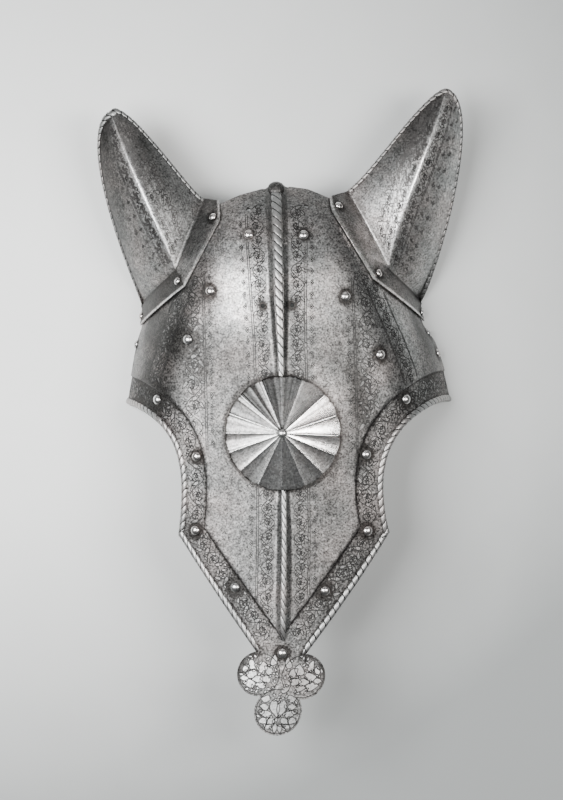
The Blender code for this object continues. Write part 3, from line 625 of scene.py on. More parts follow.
def steel(name, light, dark, tarnish, roughness, pits):
    """Bare wrought steel: dull grey, pitted, with clouds of old tarnish and a trace of rust.

    The finish attribute carries the etched ground in red, tarnish with painted shade in green,
    and wear with painted highlights in blue.
    """
    made, tree, shader, place = new_material(name)
    finish_and_painted_light = add_node(tree, "ShaderNodeVertexColor", {"layer_name": "finish_and_painted_light"})
    finish_and_painted_light = add_node(tree, "ShaderNodeSeparateColor", inputs={"Color": finish_and_painted_light}).outputs
    # Pits of a millimetre and a half, mottling of five millimetres and clouds of forty-five.
    grain, mottle, cloud = (
        add_node(tree, "ShaderNodeTexNoise", inputs={
            "Vector": place, "Scale": 1 / (size * MM), "Detail": detail, "Roughness": rough})
        for size, detail, rough in ((1.5, 3.0, 0.6), (5.0, 6.0, 0.65), (45, 4.0, 0.6)))
    blotch = add_node(tree, "ShaderNodeSeparateColor", inputs={"Color": cloud.outputs["Color"]})
    grit, bloom, stained, ground, rusty = (
        add_node(tree, "ShaderNodeMapRange", inputs={
            "Value": source, "From Min": low, "From Max": high, "To Min": start, "To Max": end})
        for source, low, high, start, end in (
            (grain, 0.32, 0.68, 1 - pits, 1 + pits),
            (mottle, 0.32, 0.68, 1 - 0.5 * pits, 1 + 0.5 * pits),
            (cloud, 0.62, 0.35, 0.0, 0.10),
            (grain, 0.7, 0.3, 0.0, 0.10),
            (blotch.outputs["Red"], 0.42, 0.62, 0.0, 1.0)))
    total = tarnish
    for source, share in ((stained, 1.0), (ground, finish_and_painted_light["Red"]), (finish_and_painted_light["Green"], 1.0),
                          (finish_and_painted_light["Blue"], -1.0)):
        total = add_node(
            tree, "ShaderNodeMath", {"operation": "MULTIPLY_ADD"}, (source, share, total))
    total = add_node(tree, "ShaderNodeClamp", inputs={"Value": total})
    tone = add_node(tree, "ShaderNodeMix", {"data_type": "RGBA"}, {
        "Factor": total, "A": linear(light), "B": linear(dark)})
    pitted = add_node(tree, "ShaderNodeMath", {"operation": "MULTIPLY"}, (grit, bloom))
    for share, tint in ((rusty, linear("fff7f5")), (1.0, pitted)):
        tone = add_node(tree, "ShaderNodeMix", {"data_type": "RGBA", "blend_type": "MULTIPLY"}, {
            "Factor": share, "A": tone, "B": tint})
    rough = add_node(tree, "ShaderNodeMapRange", inputs={
        "Value": total, "To Min": roughness - 0.06, "To Max": roughness + 0.14})
    rough = add_node(
        tree, "ShaderNodeMath", {"operation": "MULTIPLY_ADD"}, (finish_and_painted_light["Red"], 0.16, rough))
    uneven = add_node(tree, "ShaderNodeBump", inputs={
        "Height": cloud, "Distance": 1.2 * MM, "Strength": 0.35})
    bump = add_node(tree, "ShaderNodeBump", inputs={
        "Height": grain, "Distance": 0.14 * MM, "Strength": 0.45, "Normal": uneven})
    fill_inputs(tree, shader, {
        "Metallic": 1.0, "Base Color": tone, "Roughness": rough, "Normal": bump})
    return made


# The plate is closely pitted: a broad dull sheen with a grain in it.
plate_steel = steel("dull_wrought_steel", "eeefee", "3a3938", 0.79, 0.34, 0.8)

outline = plate_outline()
holes = [hole_loop(*hole) for hole in HOLES]
corners, triangles = fill_outline(
    outline, holes, step_lines() + ridge_lines() + crease_lines(), PLATE_GRID)
places, faces = halved(corners, triangles)
a, y = places.T
level = band_level(a, y) + ridge_level(a, y)
outer = lifted(a, y, level)
inner = lifted(a, y, level - PLATE_SHEET)
skull_plate = new_object(
    "skull_plate_sheet", np.concatenate((outer, inner)), close_sheet(faces, len(places)),
    plate_steel)
skull_plate.data.set_sharp_from_angle(angle=math.radians(40))


# The rondel stands over the plate; its shadow round its rim is painted onto the plate.
RONDEL_RADIUS = 45.2 * MM
RONDEL_RIVET_Y = -26.4 * MM
# Painted highlights (below zero) and painted shade, partly also real polish from cloths and
# dull places: where each lies and the tone it adds.
SHEEN_AND_SHADE_PATCHES = MM * np.array((
    # a, y, reach along, reach across, tone in thousandths
    (-31, 104, 36, 21, -600),
    (30, 106, 30, 22, -350),
    (0, -232, 50, 30, -120),
    (-38, -216, 14, 10, 140),
    (38, -216, 14, 10, 140),
    (-34, 38, 28, 22, 150),
    (36, 34, 24, 22, 60),
    (-60, 10, 30, 18, 50),
    (-58, 84, 22, 11, 130),
    (-88, 46, 60, 30, 120),
    (-44, -70, 50, 18, 60),
    (-118, 40, 60, 20, 110),
    (52, 56, 24, 24, 70),
    (66, -2, 34, 20, 150),
    (40, -58, 34, 20, 110),
    (-78, -50, 54, 12, -140),
    (40, -118, 28, 22, 60),
    (84, -50, 62, 12, -110),
    (-138, 2, 18, 24, 190),
    (14, 128, 18, 8, -220),
    (-20, 126, 10, 9, -120),
    (-136, 66, 30, 18, 150),
    (150, 50, 40, 16, 130),
    (92, 78, 24, 12, -200),
    (116, 50, 40, 14, -150),
))


def reach_from(disc, points):
    """Distance of each point from the edge of a round piece, given by its place and radius."""
    return np.linalg.norm(points - disc[:2], axis=1) - disc[2]


def fading_tone(reach, depth, length):
    """Tone of a given depth at an edge that dies away over a length, for tarnish and painted light."""
    return depth * np.exp(-np.maximum(reach, 0) / length)


def plate_tone(a, y):
    """Tone of the plate: tarnish and painted shade round pieces and in hollows, wear and painted
    highlights below zero.
    """
    points = np.stack((a, y), 1)
    edge = edge_reach(a, y)
    # Darker at the foot of the edge rope, and a painted shade line along the step.
    tone = fading_tone(edge - 2 * EDGE_ROPE_RADIUS, 0.16, 0.8 * MM)
    step = abs(edge - band_width(a) + STEP_RUN / 2)
    tone = np.maximum(tone, fading_tone(step, 0.16, 0.5 * MM) * (y > FIELD_END_Y))
    # Painted contact shade with a tarnish halo round every rivet.
    for rivet in np.concatenate((PLATE_RIVETS, STRAP_RIVETS)):
        tone = np.maximum(tone, fading_tone(reach_from(rivet, points), 0.55, 2.2 * MM))
    # Painted shade with tarnish round the plume holes, where the hollow below them is dark.
    for hole in PLUME_HOLES:
        tone = np.maximum(tone, fading_tone(reach_from(hole, points), 0.6, 1.8 * MM))
    # Painted highlights and painted shade of the patches.
    for centre_a, centre_y, along, across, patch in SHEEN_AND_SHADE_PATCHES:
        tone += patch * np.exp(-((a - centre_a) / across)**2 - ((y - centre_y) / along)**2)
    # Painted shade on the hollow flanks of the ridge toward the poll, a little painted sheen on them
    # low on the nose.
    rope_radius, half_width, _ = ridge_at(y)
    flank = np.clip((half_width - abs(a)) / (0.6 * MM), 0, 1) * (abs(a) > rope_radius)
    tone += flank * np.interp(y, MM * np.array((-60, 0, 100, 160)), (-0.06, 0.04, 0.08, 0.1))
    # Painted shadow of the rondel's rim on the plate.
    rim = abs(np.hypot(a, y - RONDEL_RIVET_Y) - RONDEL_RADIUS - 1 * MM)
    return tone + fading_tone(rim, 0.3, 1.6 * MM)


def paint(made, tone, ground=0.0):
    """Give every point its ground, tarnish and painted shade above zero, wear and painted sheen below.
    """
    layer = made.data.color_attributes.new("finish_and_painted_light", "FLOAT_COLOR", "POINT")
    rows = np.broadcast_arrays(ground, np.maximum(tone, 0), np.maximum(-tone, 0), 1.0)
    layer.data.foreach_set("color", np.stack(rows, 1).astype(np.float32).ravel())


hollow = np.zeros(len(places))
paint(skull_plate, np.concatenate((plate_tone(a, y), hollow + 0.12)),
      np.concatenate((-band_level(a, y) / BAND_DEPTH, hollow)))
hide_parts("skull_plate")
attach(skull_plate, "root")


# ---------------------------------------------------------------------------
# ropes
# The edges of the plate and of the ear guards are turned over and filed into ropes, and so is
# the top of the median ridge. Every strand is a ring of ten turned sections.

# Every strand is cut by a groove, this share of the rope's radius deep and of a strand wide.
ROPE_SIDES = 20
RINGS_A_STRAND = 10
GROOVE_DEPTH = 0.22
GROOVE_WIDTH = 0.075
# Height of the rope above its sheet, and depth below it, in shares of its radius.
ROPE_CROWN = 0.55
ROPE_FOOT = 0.35
# Where the rope of the ridge ends below the poll.
RIDGE_ROPE_END_Y = 171 * MM


def start_tree(name, sizes, output, marks):
    """New node tree, and what it is given by name: its inputs and the marks of its points."""
    tree = bpy.data.node_groups.new(name, "GeometryNodeTree")
    for key, kind in sizes.items():
        tree.interface.new_socket(key, in_out="INPUT", socket_type="NodeSocket" + kind)
    tree.interface.new_socket(output, in_out="OUTPUT", socket_type="NodeSocketGeometry")
    inputs = add_node(tree, "NodeGroupInput").outputs
    given = {key: inputs[key] for key in sizes}
    for key, kind in marks.items():
        given[key] = add_node(
            tree, "GeometryNodeInputNamedAttribute", {"data_type": kind}, {"Name": key})
    return tree, given


def end_tree(tree, output, geometry, material):
    """Make all instances real, give the result its material and lead it out of the tree."""
    geometry = add_node(tree, "GeometryNodeRealizeInstances", inputs=(geometry,))
    geometry = add_node(tree, "GeometryNodeSetMaterial", inputs={
        "Geometry": geometry, "Material": material})
    add_node(tree, "NodeGroupOutput", inputs={output: geometry})
    return tree


def rope_tree():
    """Node tree that wraps a rope round a path of rings.

    The path's points carry normal, size (the rope's radius), slant (shift along the rope for a
    step across it) and strand (counts the strands from its start).
    """
    tree, given = start_tree("filed_rope", {
        "Path": "Geometry", "Sides": "Int", "Groove Depth": "Float", "Groove Width": "Float",
        "Crown": "Float", "Foot": "Float", "Material": "Material"}, "Rope", {
        "normal": "FLOAT_VECTOR", "centre": "FLOAT_VECTOR", "forward": "FLOAT_VECTOR",
        "around": "FLOAT", "size": "FLOAT", "slant": "FLOAT", "strand": "FLOAT"})
    path = add_node(tree, "GeometryNodeMeshToCurve", inputs=(given["Path"],))
    ring = add_node(tree, "GeometryNodeCurvePrimitiveCircle", inputs={
        "Resolution": given["Sides"], "Radius": 1 * MM})
    step = add_node(tree, "GeometryNodeInputIndex")
    around = add_node(tree, "ShaderNodeMath", {"operation": "DIVIDE"}, (step, given["Sides"]))
    ring = add_node(tree, "GeometryNodeStoreNamedAttribute", {"data_type": "FLOAT"}, {
        "Geometry": ring, "Name": "around", "Value": around})
    for name, kind in (("centre", "GeometryNodeInputPosition"),
                       ("forward", "GeometryNodeInputTangent")):
        path = add_node(tree, "GeometryNodeStoreNamedAttribute", {"data_type": "FLOAT_VECTOR"}, {
            "Geometry": path, "Name": name, "Value": add_node(tree, kind)})
    rope = add_node(tree, "GeometryNodeCurveToMesh", inputs={
        "Curve": path, "Profile Curve": ring, "Fill Caps": True})
    # Every sum has a name, and takes numbers and the names before it.
    sums = {"ShaderNodeMath": (
        ("angle", "MULTIPLY", "around", math.tau),
        ("across", "SINE", "angle"),
        ("up", "COSINE", "angle"),
        ("below", "MINIMUM", "up", 0.0),
        ("below", "MULTIPLY", "below", "Foot"),
        ("above", "MAXIMUM", "up", 0.0),
        ("height", "MULTIPLY_ADD", "above", "Crown", "below"),
        ("nearest", "ROUND", "strand"),
        ("gap", "SUBTRACT", "strand", "nearest"),
        ("gap", "ABSOLUTE", "gap"),
        ("gap", "DIVIDE", "gap", "Groove Width"),
        ("groove", "SUBTRACT", 1.0, "gap"),
        ("groove", "MAXIMUM", "groove", 0.0),
        ("swell", "MULTIPLY", "strand", math.tau),
        ("swell", "COSINE", "swell"),
        ("reach", "MULTIPLY_ADD", "swell", -0.05, 0.95),
        ("cut", "MULTIPLY", "groove", "Groove Depth"),
        ("reach", "SUBTRACT", "reach", "cut"),
        ("reach", "MULTIPLY", "reach", "size"),
        ("rise", "MULTIPLY", "height", "reach"),
        ("spread", "MULTIPLY", "across", "reach"),
        ("shift", "MULTIPLY", "across", "size"),
        ("shift", "MULTIPLY", "shift", "slant"),
        ("tarnish", "MULTIPLY", "groove", 0.8),
    ), "ShaderNodeVectorMath": (
        ("side", "CROSS_PRODUCT", "forward", "normal"),
        ("side", "NORMALIZE", "side"),
        ("point", "MULTIPLY_ADD", "normal", "rise", "centre"),
        ("point", "MULTIPLY_ADD", "side", "spread", "point"),
        ("point", "MULTIPLY_ADD", "forward", "shift", "point"),
    )}
    for kind, rows in sums.items():
        for name, operation, *values in rows:
            given[name] = add_node(tree, kind, {"operation": operation}, [
                given[value] if isinstance(value, str) else value for value in values])
    rope = add_node(tree, "GeometryNodeSetPosition", inputs={
        "Geometry": rope, "Position": given["point"]})
    finish_and_painted_light = add_node(tree, "ShaderNodeCombineXYZ", inputs={"Y": given["tarnish"]})
    rope = add_node(tree, "GeometryNodeStoreNamedAttribute", {"data_type": "FLOAT_COLOR"}, {
        "Geometry": rope, "Name": "finish_and_painted_light", "Value": finish_and_painted_light})
    return end_tree(tree, "Rope", rope, given["Material"])


filed_rope = rope_tree()


def grown(name, points, edges, normals, marks, tree, sizes):
    """Run a node tree on points that carry marks and keep the result as one plain mesh."""
    mesh = bpy.data.meshes.new(name)
    mesh.from_pydata(points.tolist(), edges, [])
    mesh.attributes.new("normal", "FLOAT_VECTOR", "POINT").data.foreach_set(
        "vector", unit(normals).ravel())
    for key, value in marks.items():
        mesh.attributes.new(key, "FLOAT", "POINT").data.foreach_set("value", value)
    start = in_scene(name, mesh)
    sockets = {item.name: item.identifier for item in tree.interface.items_tree}
    modifier = start.modifiers.new("tree", "NODES")
    modifier.node_group = tree
    for key, value in sizes.items():
        modifier[sockets[key]] = value
    mesh = bpy.data.meshes.new_from_object(
        start.evaluated_get(bpy.context.evaluated_depsgraph_get()))
    bpy.data.objects.remove(start)
    for layer in [layer.name for layer in mesh.attributes]:
        if layer != "position" and mesh.attributes[layer].data_type in ("FLOAT", "FLOAT_VECTOR"):
            mesh.attributes.remove(mesh.attributes[layer])
    mesh.name = name
    mesh.shade_smooth()
    return in_scene(name, mesh)


def length_along(line):
    """Distance of each point of a line from its start."""
    return np.concatenate(([0], np.cumsum(np.linalg.norm(np.diff(line, axis=0), axis=1))))


def rope(name, points, normals, radius, slant, pitch, material):
    """Rope along a line that lies on a sheet, with its strands at an even pitch."""
    far = length_along(points)
    strands = np.concatenate(([0], np.cumsum(np.diff(far) / ((pitch[1:] + pitch[:-1]) / 2))))
    wanted = np.arange(0, strands[-1], 1 / RINGS_A_STRAND)
    steps = np.interp(wanted, strands, far)
    rings = np.array([np.interp(steps, far, v) for v in (*points.T, *normals.T, radius, slant)])
    made = grown(
        name, rings[:3].T, [(k, k + 1) for k in range(len(steps) - 1)], rings[3:6].T,
        {"size": rings[6], "slant": rings[7], "strand": wanted + 0.5}, filed_rope, {
            "Sides": ROPE_SIDES, "Groove Depth": GROOVE_DEPTH, "Groove Width": GROOVE_WIDTH,
            "Crown": ROPE_CROWN, "Foot": ROPE_FOOT, "Material": material})
    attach(made, "root")


def grid_faces(rows, columns, closed=False):
    """Four-sided faces between the rows of a grid of points, open or closed round."""
    faces = []
    for start in range(0, (rows - 1) * columns, columns):
        for c in range(columns if closed else columns - 1):
            i = start + c
            j = start + (c + 1) % columns
            faces.append((i, j, j + columns, i + columns))
    return faces


# The ropes are handled most: bright on their crowns, dark in their grooves.
rope_steel = steel("filed_rope_steel", "ebeceb", "1c1b1b", 0.52, 0.38, 0.25)

ys = np.linspace(RIDGE[0, 0] + 1 * MM, RIDGE_ROPE_END_Y, 500)
a = 0 * ys
radius, _, height = ridge_at(ys)
radius = radius * np.sqrt(np.clip((RIDGE_ROPE_END_Y + 0.2 * MM - ys) / (4 * MM), 0.02, 1))
normals = normal_at(a, ys)
slant = np.interp(ys, [-60 * MM, 30 * MM, 60 * MM], [-1.6, -1.2, -0.85])
pitch = np.interp(ys, [-60 * MM, 30 * MM], [7.0 * MM, 7.4 * MM])
rope("ridge_rope", surface(a, ys) + normals * height[:, None], normals, radius, slant, pitch,
     rope_steel)

# Past the rope the ridge ends in a plain rounded knob.
KNOB_Y = 167.5 * MM
KNOB_RINGS = 15
KNOB_SIDES = 32
end = np.array((KNOB_Y,))
size, _, height = (value[0] for value in ridge_at(end))
up = normal_at(0 * end, end)[0]
centre = surface(0 * end, end)[0] + up * height
radii = np.array(((7.0 * MM, 0, 0), 7.4 * MM * np.cross(up, (1, 0, 0)), up * size * 1.12))
turn = math.tau * np.arange(KNOB_SIDES) / KNOB_SIDES
rings = []
for rise in np.radians(np.linspace(-84, 84, KNOB_RINGS)):
    ring = np.stack((np.cos(turn) * math.cos(rise), np.sin(turn) * math.cos(rise),
                     0 * turn + math.sin(rise)), 1)
    rings.append(centre + ring @ radii)
rings = np.concatenate(rings)
faces = grid_faces(KNOB_RINGS, KNOB_SIDES, closed=True)
faces += [tuple(range(KNOB_SIDES))[::-1], tuple(range(len(rings) - KNOB_SIDES, len(rings)))]
knob = new_object("ridge_knob", rings, faces, plate_steel)
paint(knob, np.full(len(rings), 0.1))
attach(knob, "root")

# The strands of the left taper slant the other way from those of the right one.
TAPER_END_Y = -112 * MM
TAPER_SLANT = {-1: 1.3, 1: -0.5}
CUT_SLANT = 0.85
EDGE_PITCH = 6.6 * MM
for side, name in ((-1, "edge_rope_left"), (1, "edge_rope_right")):
    a, ys = split(offset(EDGES[side], side * EDGE_ROPE_RADIUS), 1.5 * MM).T
    points = lifted(a, ys, band_level(a, ys))
    far = length_along(points)
    kept = far < far[-1] - 1.2 * MM
    radius = EDGE_ROPE_RADIUS * np.clip(far / (7 * MM), 0.02, 1)**0.5
    slant = np.where(ys < TAPER_END_Y, TAPER_SLANT[side], CUT_SLANT)
    rope(name, points[kept], normal_at(a, ys)[kept], radius[kept], slant[kept],
         np.full(kept.sum(), EDGE_PITCH), rope_steel)


# ---------------------------------------------------------------------------
# ear guards
# Each is beaten from one sheet into a half cone with a sharp median keel. Its base turns out
# into a flange that is riveted to the plate, and its free edge is filed into a fine rope.

EAR_SHEET = 1.2 * MM
FLANGE_GAP = 0.8 * MM
RIM_MARGIN = 3.0 * MM
FLANK_RISE = 0.72
FLANK_RUN = 0.22
EAR_ROPE_RADIUS = 1.8 * MM
EAR_ROPE_PITCH = 6.0 * MM
EAR_ROPE_SLANT = 0.7
EAR_ROPE_INSET = 1.1 * MM
# Painted shade with tarnish on the inner flank from base to tip, then on the outer flank; below
# zero it is a painted sheen with polish.
EAR_FLANK_TARNISH_AND_SHADING = {-1: (-0.07, 0.16, 0.08, 0.28), 1: (-0.13, 0.24, -0.05, -0.26)}
# Painted sheen beside the keel on the flank that faces the left soft box, and painted shade with
# tarnish on the flange below the inner and the outer flank.
EAR_PAINTED_SHEEN = {-1: 0.5, 1: 0.3}
FLANGE_TARNISH_AND_SHADE = {-1: (0.14, 0.36), 1: (0.14, 0.2)}
# The sheet is rolled over more at the tip of the left guard.
TIP_SWELL = {-1: 0.9, 1: 0.2}
# Cubic curves of the inner edge, the keel and the outer edge.
EAR_CURVES = {
    -1: MM * np.array((
        ((-62.6, 163.2, 50), (-70.9, 163.8, 60), (-130.5, 253.9, 60), (-139.7, 235.7, 58)),
        ((-87.6, 107.0, 68), (-102.4, 149.2, 86), (-125.2, 188.7, 80), (-139.7, 235.7, 58)),
        ((-118.1, 79.2, 4), (-125.3, 104.1, 30), (-173.1, 221.0, 46), (-139.7, 235.7, 58)))),
    1: MM * np.array((
        ((53.3, 170.2, 45), (73.9, 184.5, 60), (116.5, 252.8, 60), (135.3, 254.9, 58)),
        ((86.5, 108.2, 60), (95.8, 158.0, 82), (120.8, 202.2, 80), (135.3, 254.9, 58)),
        ((119.1, 81.7, 4), (129.2, 101.7, 30), (170.5, 246.9, 46), (135.3, 254.9, 58)))),
}
# Free edge of the flange seen from the front: two corners at the poll, the corner under the
# keel and the rim corner.
FLANGE_EDGE = {
    -1: MM * np.array(((-50.5, 161.9), (-48.6, 146.9), (-77.4, 91.5), (-116.9, 62.3))),
    1: MM * np.array(((38.9, 165.3), (39.5, 154.7), (74.2, 97.0), (119.6, 66.2))),
}
FLANGE_MARKS = (0.0, 0.06, 1.0, 2.0)
FLANGE_RIVETS = rivets_of(
    3.2, 2.2, (-53.9, 147.8), (-90.0, 96.2), (-167.0, 70.0), (53.2, 157.4), (89.5, 102.6),
    (168.5, 73.0))
FLANGE_ROWS = np.array((0.0, 0.04, 0.15, 0.3, 0.45, 0.6, 0.72, 0.82, 0.9, 0.96))
EAR_ROWS = np.concatenate(((0.0, 0.008, 0.018, 0.032, 0.05), np.linspace(0.075, 0.9, 34),
                           (0.92, 0.94, 0.955, 0.967, 0.976)))
EAR_COLUMNS = np.concatenate((
    np.linspace(0, 0.92, 22), (0.955, 0.985, 1.0, 1.015, 1.045), np.linspace(1.08, 2, 22)))
KEEL_ROUND = 0.03


def along_line(line, marks, s):
    """Points of a line whose corners stand at the marks."""
    return np.stack([np.interp(s, marks, line[:, k]) for k in range(line.shape[1])], 1)


def flange_point(side, f, s):
    """Points of the flange's outer face, from its free edge (f = 0) to the bend (f = 1)."""
    p = along_line(FLANGE_EDGE[side], FLANGE_MARKS, s)
    p = p + (along_line(EAR_BEND[side], (0.0, 1.0, 2.0), s) - p) * f[:, None]
    limit = abs(rim_arc(p[:, 1], side)) - RIM_MARGIN
    a = side * np.minimum(abs(arc_at(p[:, 0], p[:, 1])), limit)
    return surface(a, p[:, 1]) + normal_at(a, p[:, 1]) * (FLANGE_GAP + EAR_SHEET)


def ear_section(side, t, s):
    """Points between the edges and the keel, without the base."""
    inner_edge, keel, outer_edge = (bezier(curve, t) for curve in EAR_CURVES[side])
    chord = outer_edge - inner_edge
    share = np.sum((keel - inner_edge) * chord, 1) / np.maximum(np.sum(chord**2, 1), 1e-12)
    foot = inner_edge + chord * share[:, None]

    def profile(s):
        edge = np.where((s <= 1)[:, None], inner_edge, outer_edge)
        u = np.where(s <= 1, s, 2 - s)[:, None]
        middle = edge + (keel - foot) * FLANK_RISE + (foot - edge) * FLANK_RUN
        return bent(edge, middle, keel, u)

    w = np.clip((s - 1 + KEEL_ROUND) / (2 * KEEL_ROUND), 0, 1)[:, None]
    rounded = bent(profile(0 * s + 1 - KEEL_ROUND), keel, profile(0 * s + 1 + KEEL_ROUND), w)
    return np.where((abs(s - 1) < KEEL_ROUND)[:, None], rounded, profile(s))


# Way from the base of each ear's cone to its bend, for places across the ear.
DRIFT_MARKS = np.linspace(0, 2, 81)
EAR_DRIFT = {
    side: flange_point(side, 0 * DRIFT_MARKS + 1, DRIFT_MARKS) - SHIFT
    - ear_section(side, 0 * DRIFT_MARKS, DRIFT_MARKS) for side in (-1, 1)}


def ear_point(side, t, s):
    """Points of the ear guard's outer face from the bend (t = 0) to the tip."""
    drift = along_line(EAR_DRIFT[side], DRIFT_MARKS, s)
    return ear_section(side, t, s) + drift * ((1 - t)**3)[:, None] + SHIFT


def ear_tone(side, t, inner):
    """Painted shade with tarnish (painted sheen below zero) at a share t from base to tip, on the
    inner or outer flank.
    """
    tones = [np.interp(t, (0.1, 0.6), EAR_FLANK_TARNISH_AND_SHADING[side][k:k + 2]) for k in (0, 2)]
    return np.where(inner, *tones)


def ear_guard(name, side):
    """Sheet of one ear guard. Gives back its points from the bend up, and their normals."""
    columns = len(EAR_COLUMNS)
    grid = [flange_point(side, np.full(columns, f), EAR_COLUMNS) for f in FLANGE_ROWS]
    grid = np.array(grid + [ear_point(side, np.full(columns, t), EAR_COLUMNS) for t in EAR_ROWS])
    bend = len(FLANGE_ROWS)
    near = slice(bend - 2, bend + 3)
    for _ in range(2):
        grid[near] = (grid[bend - 3:bend + 2] + 2 * grid[near] + grid[bend - 1:bend + 4]) / 4
    normals = side * unit(np.cross(np.gradient(grid, axis=1), np.gradient(grid, axis=0)))
    normals *= np.sign(normals[..., 2:3].mean())
    tip = bezier(EAR_CURVES[side][1], [1.0])[0] + SHIFT
    width = np.linalg.norm(grid[:, 0] - grid[:, -1], axis=1)
    sheet = np.minimum(EAR_SHEET, 0.12 * width)[:, None, None]
    outer = grid.reshape(-1, 3)
    inner = (grid - normals * sheet).reshape(-1, 3)
    count = len(outer)
    faces = grid_faces(len(grid), columns)
    faces += [(k, k + 1, count) for k in range(count - columns, count - 1)]
    if side < 0:
        faces = [face[::-1] for face in faces]
    made = new_object(
        name, np.concatenate((outer, [tip], inner, [tip - (0, 0, 0.5 * MM)])),
        close_sheet(faces, count + 1), ear_steel)
    made.data.set_sharp_from_angle(angle=math.radians(50))

    rows = np.repeat(np.arange(len(grid)), columns)
    s = np.tile(EAR_COLUMNS, len(grid))
    from_keel = abs(s - 1)
    cone = rows > bend + 1
    # Darker at the bend and toward the roped edges, and a painted contact shade with a tarnish halo
    # round the flange rivets.
    dark = fading_tone(abs(rows - bend + 1.5), 0.16, 1.5)
    dark = np.maximum(dark, 0.2 * np.clip((from_keel - 0.9) / 0.1, 0, 1))
    for rivet in FLANGE_RIVETS:
        reach = np.linalg.norm(outer - surface(*rivet[:2, None]), axis=1) - rivet[2] - 1 * MM
        dark = np.maximum(dark, fading_tone(reach, 0.36, 2.0 * MM))
    # Painted highlights: along the keel with some real wear, on the flange's free edge, and beside the
    # keel on the flank that faces the left soft box.
    wear_and_sheen = fading_tone(from_keel, 0.8, 0.02) * cone + 0.5 * (rows < 2)
    wear_and_sheen += fading_tone(from_keel, EAR_PAINTED_SHEEN[side], 0.26) * cone * ((s - 1) * side < 0)
    # Tones of the flanks and the flange: painted shade and sheen with tarnish.
    tone = ear_tone(side, np.clip((rows - bend) / (len(grid) - bend), 0, 1), s < 1)
    tone += np.where(s < 1, *FLANGE_TARNISH_AND_SHADE[side]) * (rows >= 2) * (rows < bend - 1)
    paint(made, np.concatenate((dark + tone - wear_and_sheen, [0], np.full(count + 1, 0.12))))
    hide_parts(name.replace("_sheet", ""))
    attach(made, "root")
    return grid[bend:], normals[bend:]


def ear_rope(name, side, grid, normals):
    """Fine rope from the base of the inner edge round the tip to the base of the outer edge."""
    t = np.concatenate((np.linspace(0.02, 0.9, 60), np.linspace(0.91, 1.0, 20)))
    edges = []
    for column, s in ((0, 0.0), (-1, 2.0)):
        drift = grid[0, column] - SHIFT - ear_section(side, np.zeros(1), np.full(1, s))[0]
        edges.append(ear_section(side, t, 0 * t + s) + SHIFT + drift * ((1 - t)**3)[:, None])
    points = np.concatenate((edges[0], edges[1][::-1][1:]))
    where = np.concatenate((t, 2 - t[::-1][1:]))
    rows = EAR_ROWS < 0.93
    marks = np.concatenate((EAR_ROWS[rows], 2 - EAR_ROWS[rows][::-1]))
    samples = np.concatenate((normals[rows, 1], normals[rows, -2][::-1]))
    up = unit(along_line(samples, marks, where))
    forward = unit(np.gradient(points, axis=0))
    inward = unit(np.cross(up, forward)) * -side
    # A point well above the base tells which way the middle of the ear lies.
    middle = (points[:len(t)].mean(0) + points[len(t):].mean(0)) / 2
    inward *= np.sign(np.sum(inward[20] * (middle - points[20])))
    points = points + inward * EAR_ROPE_INSET
    near_tip = np.clip((np.minimum(where, 2 - where) - 0.8) / 0.2, 0, 1)
    thick = EAR_ROPE_RADIUS * (1 + TIP_SWELL[side] * near_tip)
    rope(name, points, up, thick, np.full(len(points), EAR_ROPE_SLANT),
         np.full(len(points), EAR_ROPE_PITCH), ear_rope_steel)


# The ear guards have been rubbed less: a little duller than the plate, with darker ropes.
ear_steel = steel("dull_wrought_steel_of_the_ears", "e4e5e4", "3a3938", 0.69, 0.38, 0.7)
ear_rope_steel = steel("tarnished_rope_steel", "e4e5e4", "1c1b1b", 0.62, 0.42, 0.3)
for side, name in ((-1, "ear_guard_left"), (1, "ear_guard_right")):
    grid, normals = ear_guard(name + "_sheet", side)
    ear_rope(name + "_rope", side, grid, normals)


# ---------------------------------------------------------------------------
# rondel
# A thin disc beaten over a stake into sixteen petals that meet in raised ribs. Its sides droop
# to follow the plate, and one petal has torn a little way in from the rim.

RIB_ANGLES = (18, 42, 70, 90, 112, 138, 160, 180, 200, 222, 245, 270, 293, 315, 337, 357)
PETAL_BULGE = 1.1 * MM
PETAL_DEPTH = 1.0 * MM
RONDEL_RISE = 12.0 * MM
RONDEL_DROOP = 4.0 * MM
RONDEL_RIM_Z = 117.9 * MM
RONDEL_SHEET = 1.2 * MM
RONDEL_HOLE = 2.5 * MM
RIB_HALF_WIDTH = 1.3 * MM
# Places of the mesh's columns across a petal, closest together at its ribs.
PETAL_SPOTS = np.concatenate(((0, 0.03, 0.06, 0.1), np.linspace(0.15, 0.85, 8), (0.9, 0.94, 0.97)))
RONDEL_RINGS = 30
# Angles round the disc, and the painted light and shade there in thousandths: painted shade above
# zero, a painted highlight below it.
RONDEL_PAINTED_LIGHT = ((0, 32, 50, 72, 90, 125, 150, 200, 270, 320, 360),
                (-340, 40, -60, 220, 380, 500, 360, 220, 40, -60, -340))
# The tear runs in from the rim between two angles, as far as this ring of the mesh.
TEAR = (354.5, 356.2)
TEAR_RING = 22


def from_rib(radius, share):
    """Distance from the nearer rib, for a share of the way from one rib to the next."""
    return radius * math.tau / len(RIB_ANGLES) * np.minimum(share, 1 - share)


def rondel_height(radius, share, angle):
    """Height of the outer face, for a share of the way from one rib to the next."""
    u = radius / RONDEL_RADIUS
    rib = np.clip(from_rib(radius, share) / RIB_HALF_WIDTH, 0, 1)
    flute = 0.78 * np.sin(math.pi * share) + 0.22 * rib
    droop = RONDEL_DROOP * (np.cos(angle) * u)**2
    return RONDEL_RIM_Z + RONDEL_RISE * (1 - u) - PETAL_DEPTH * flute * u - droop


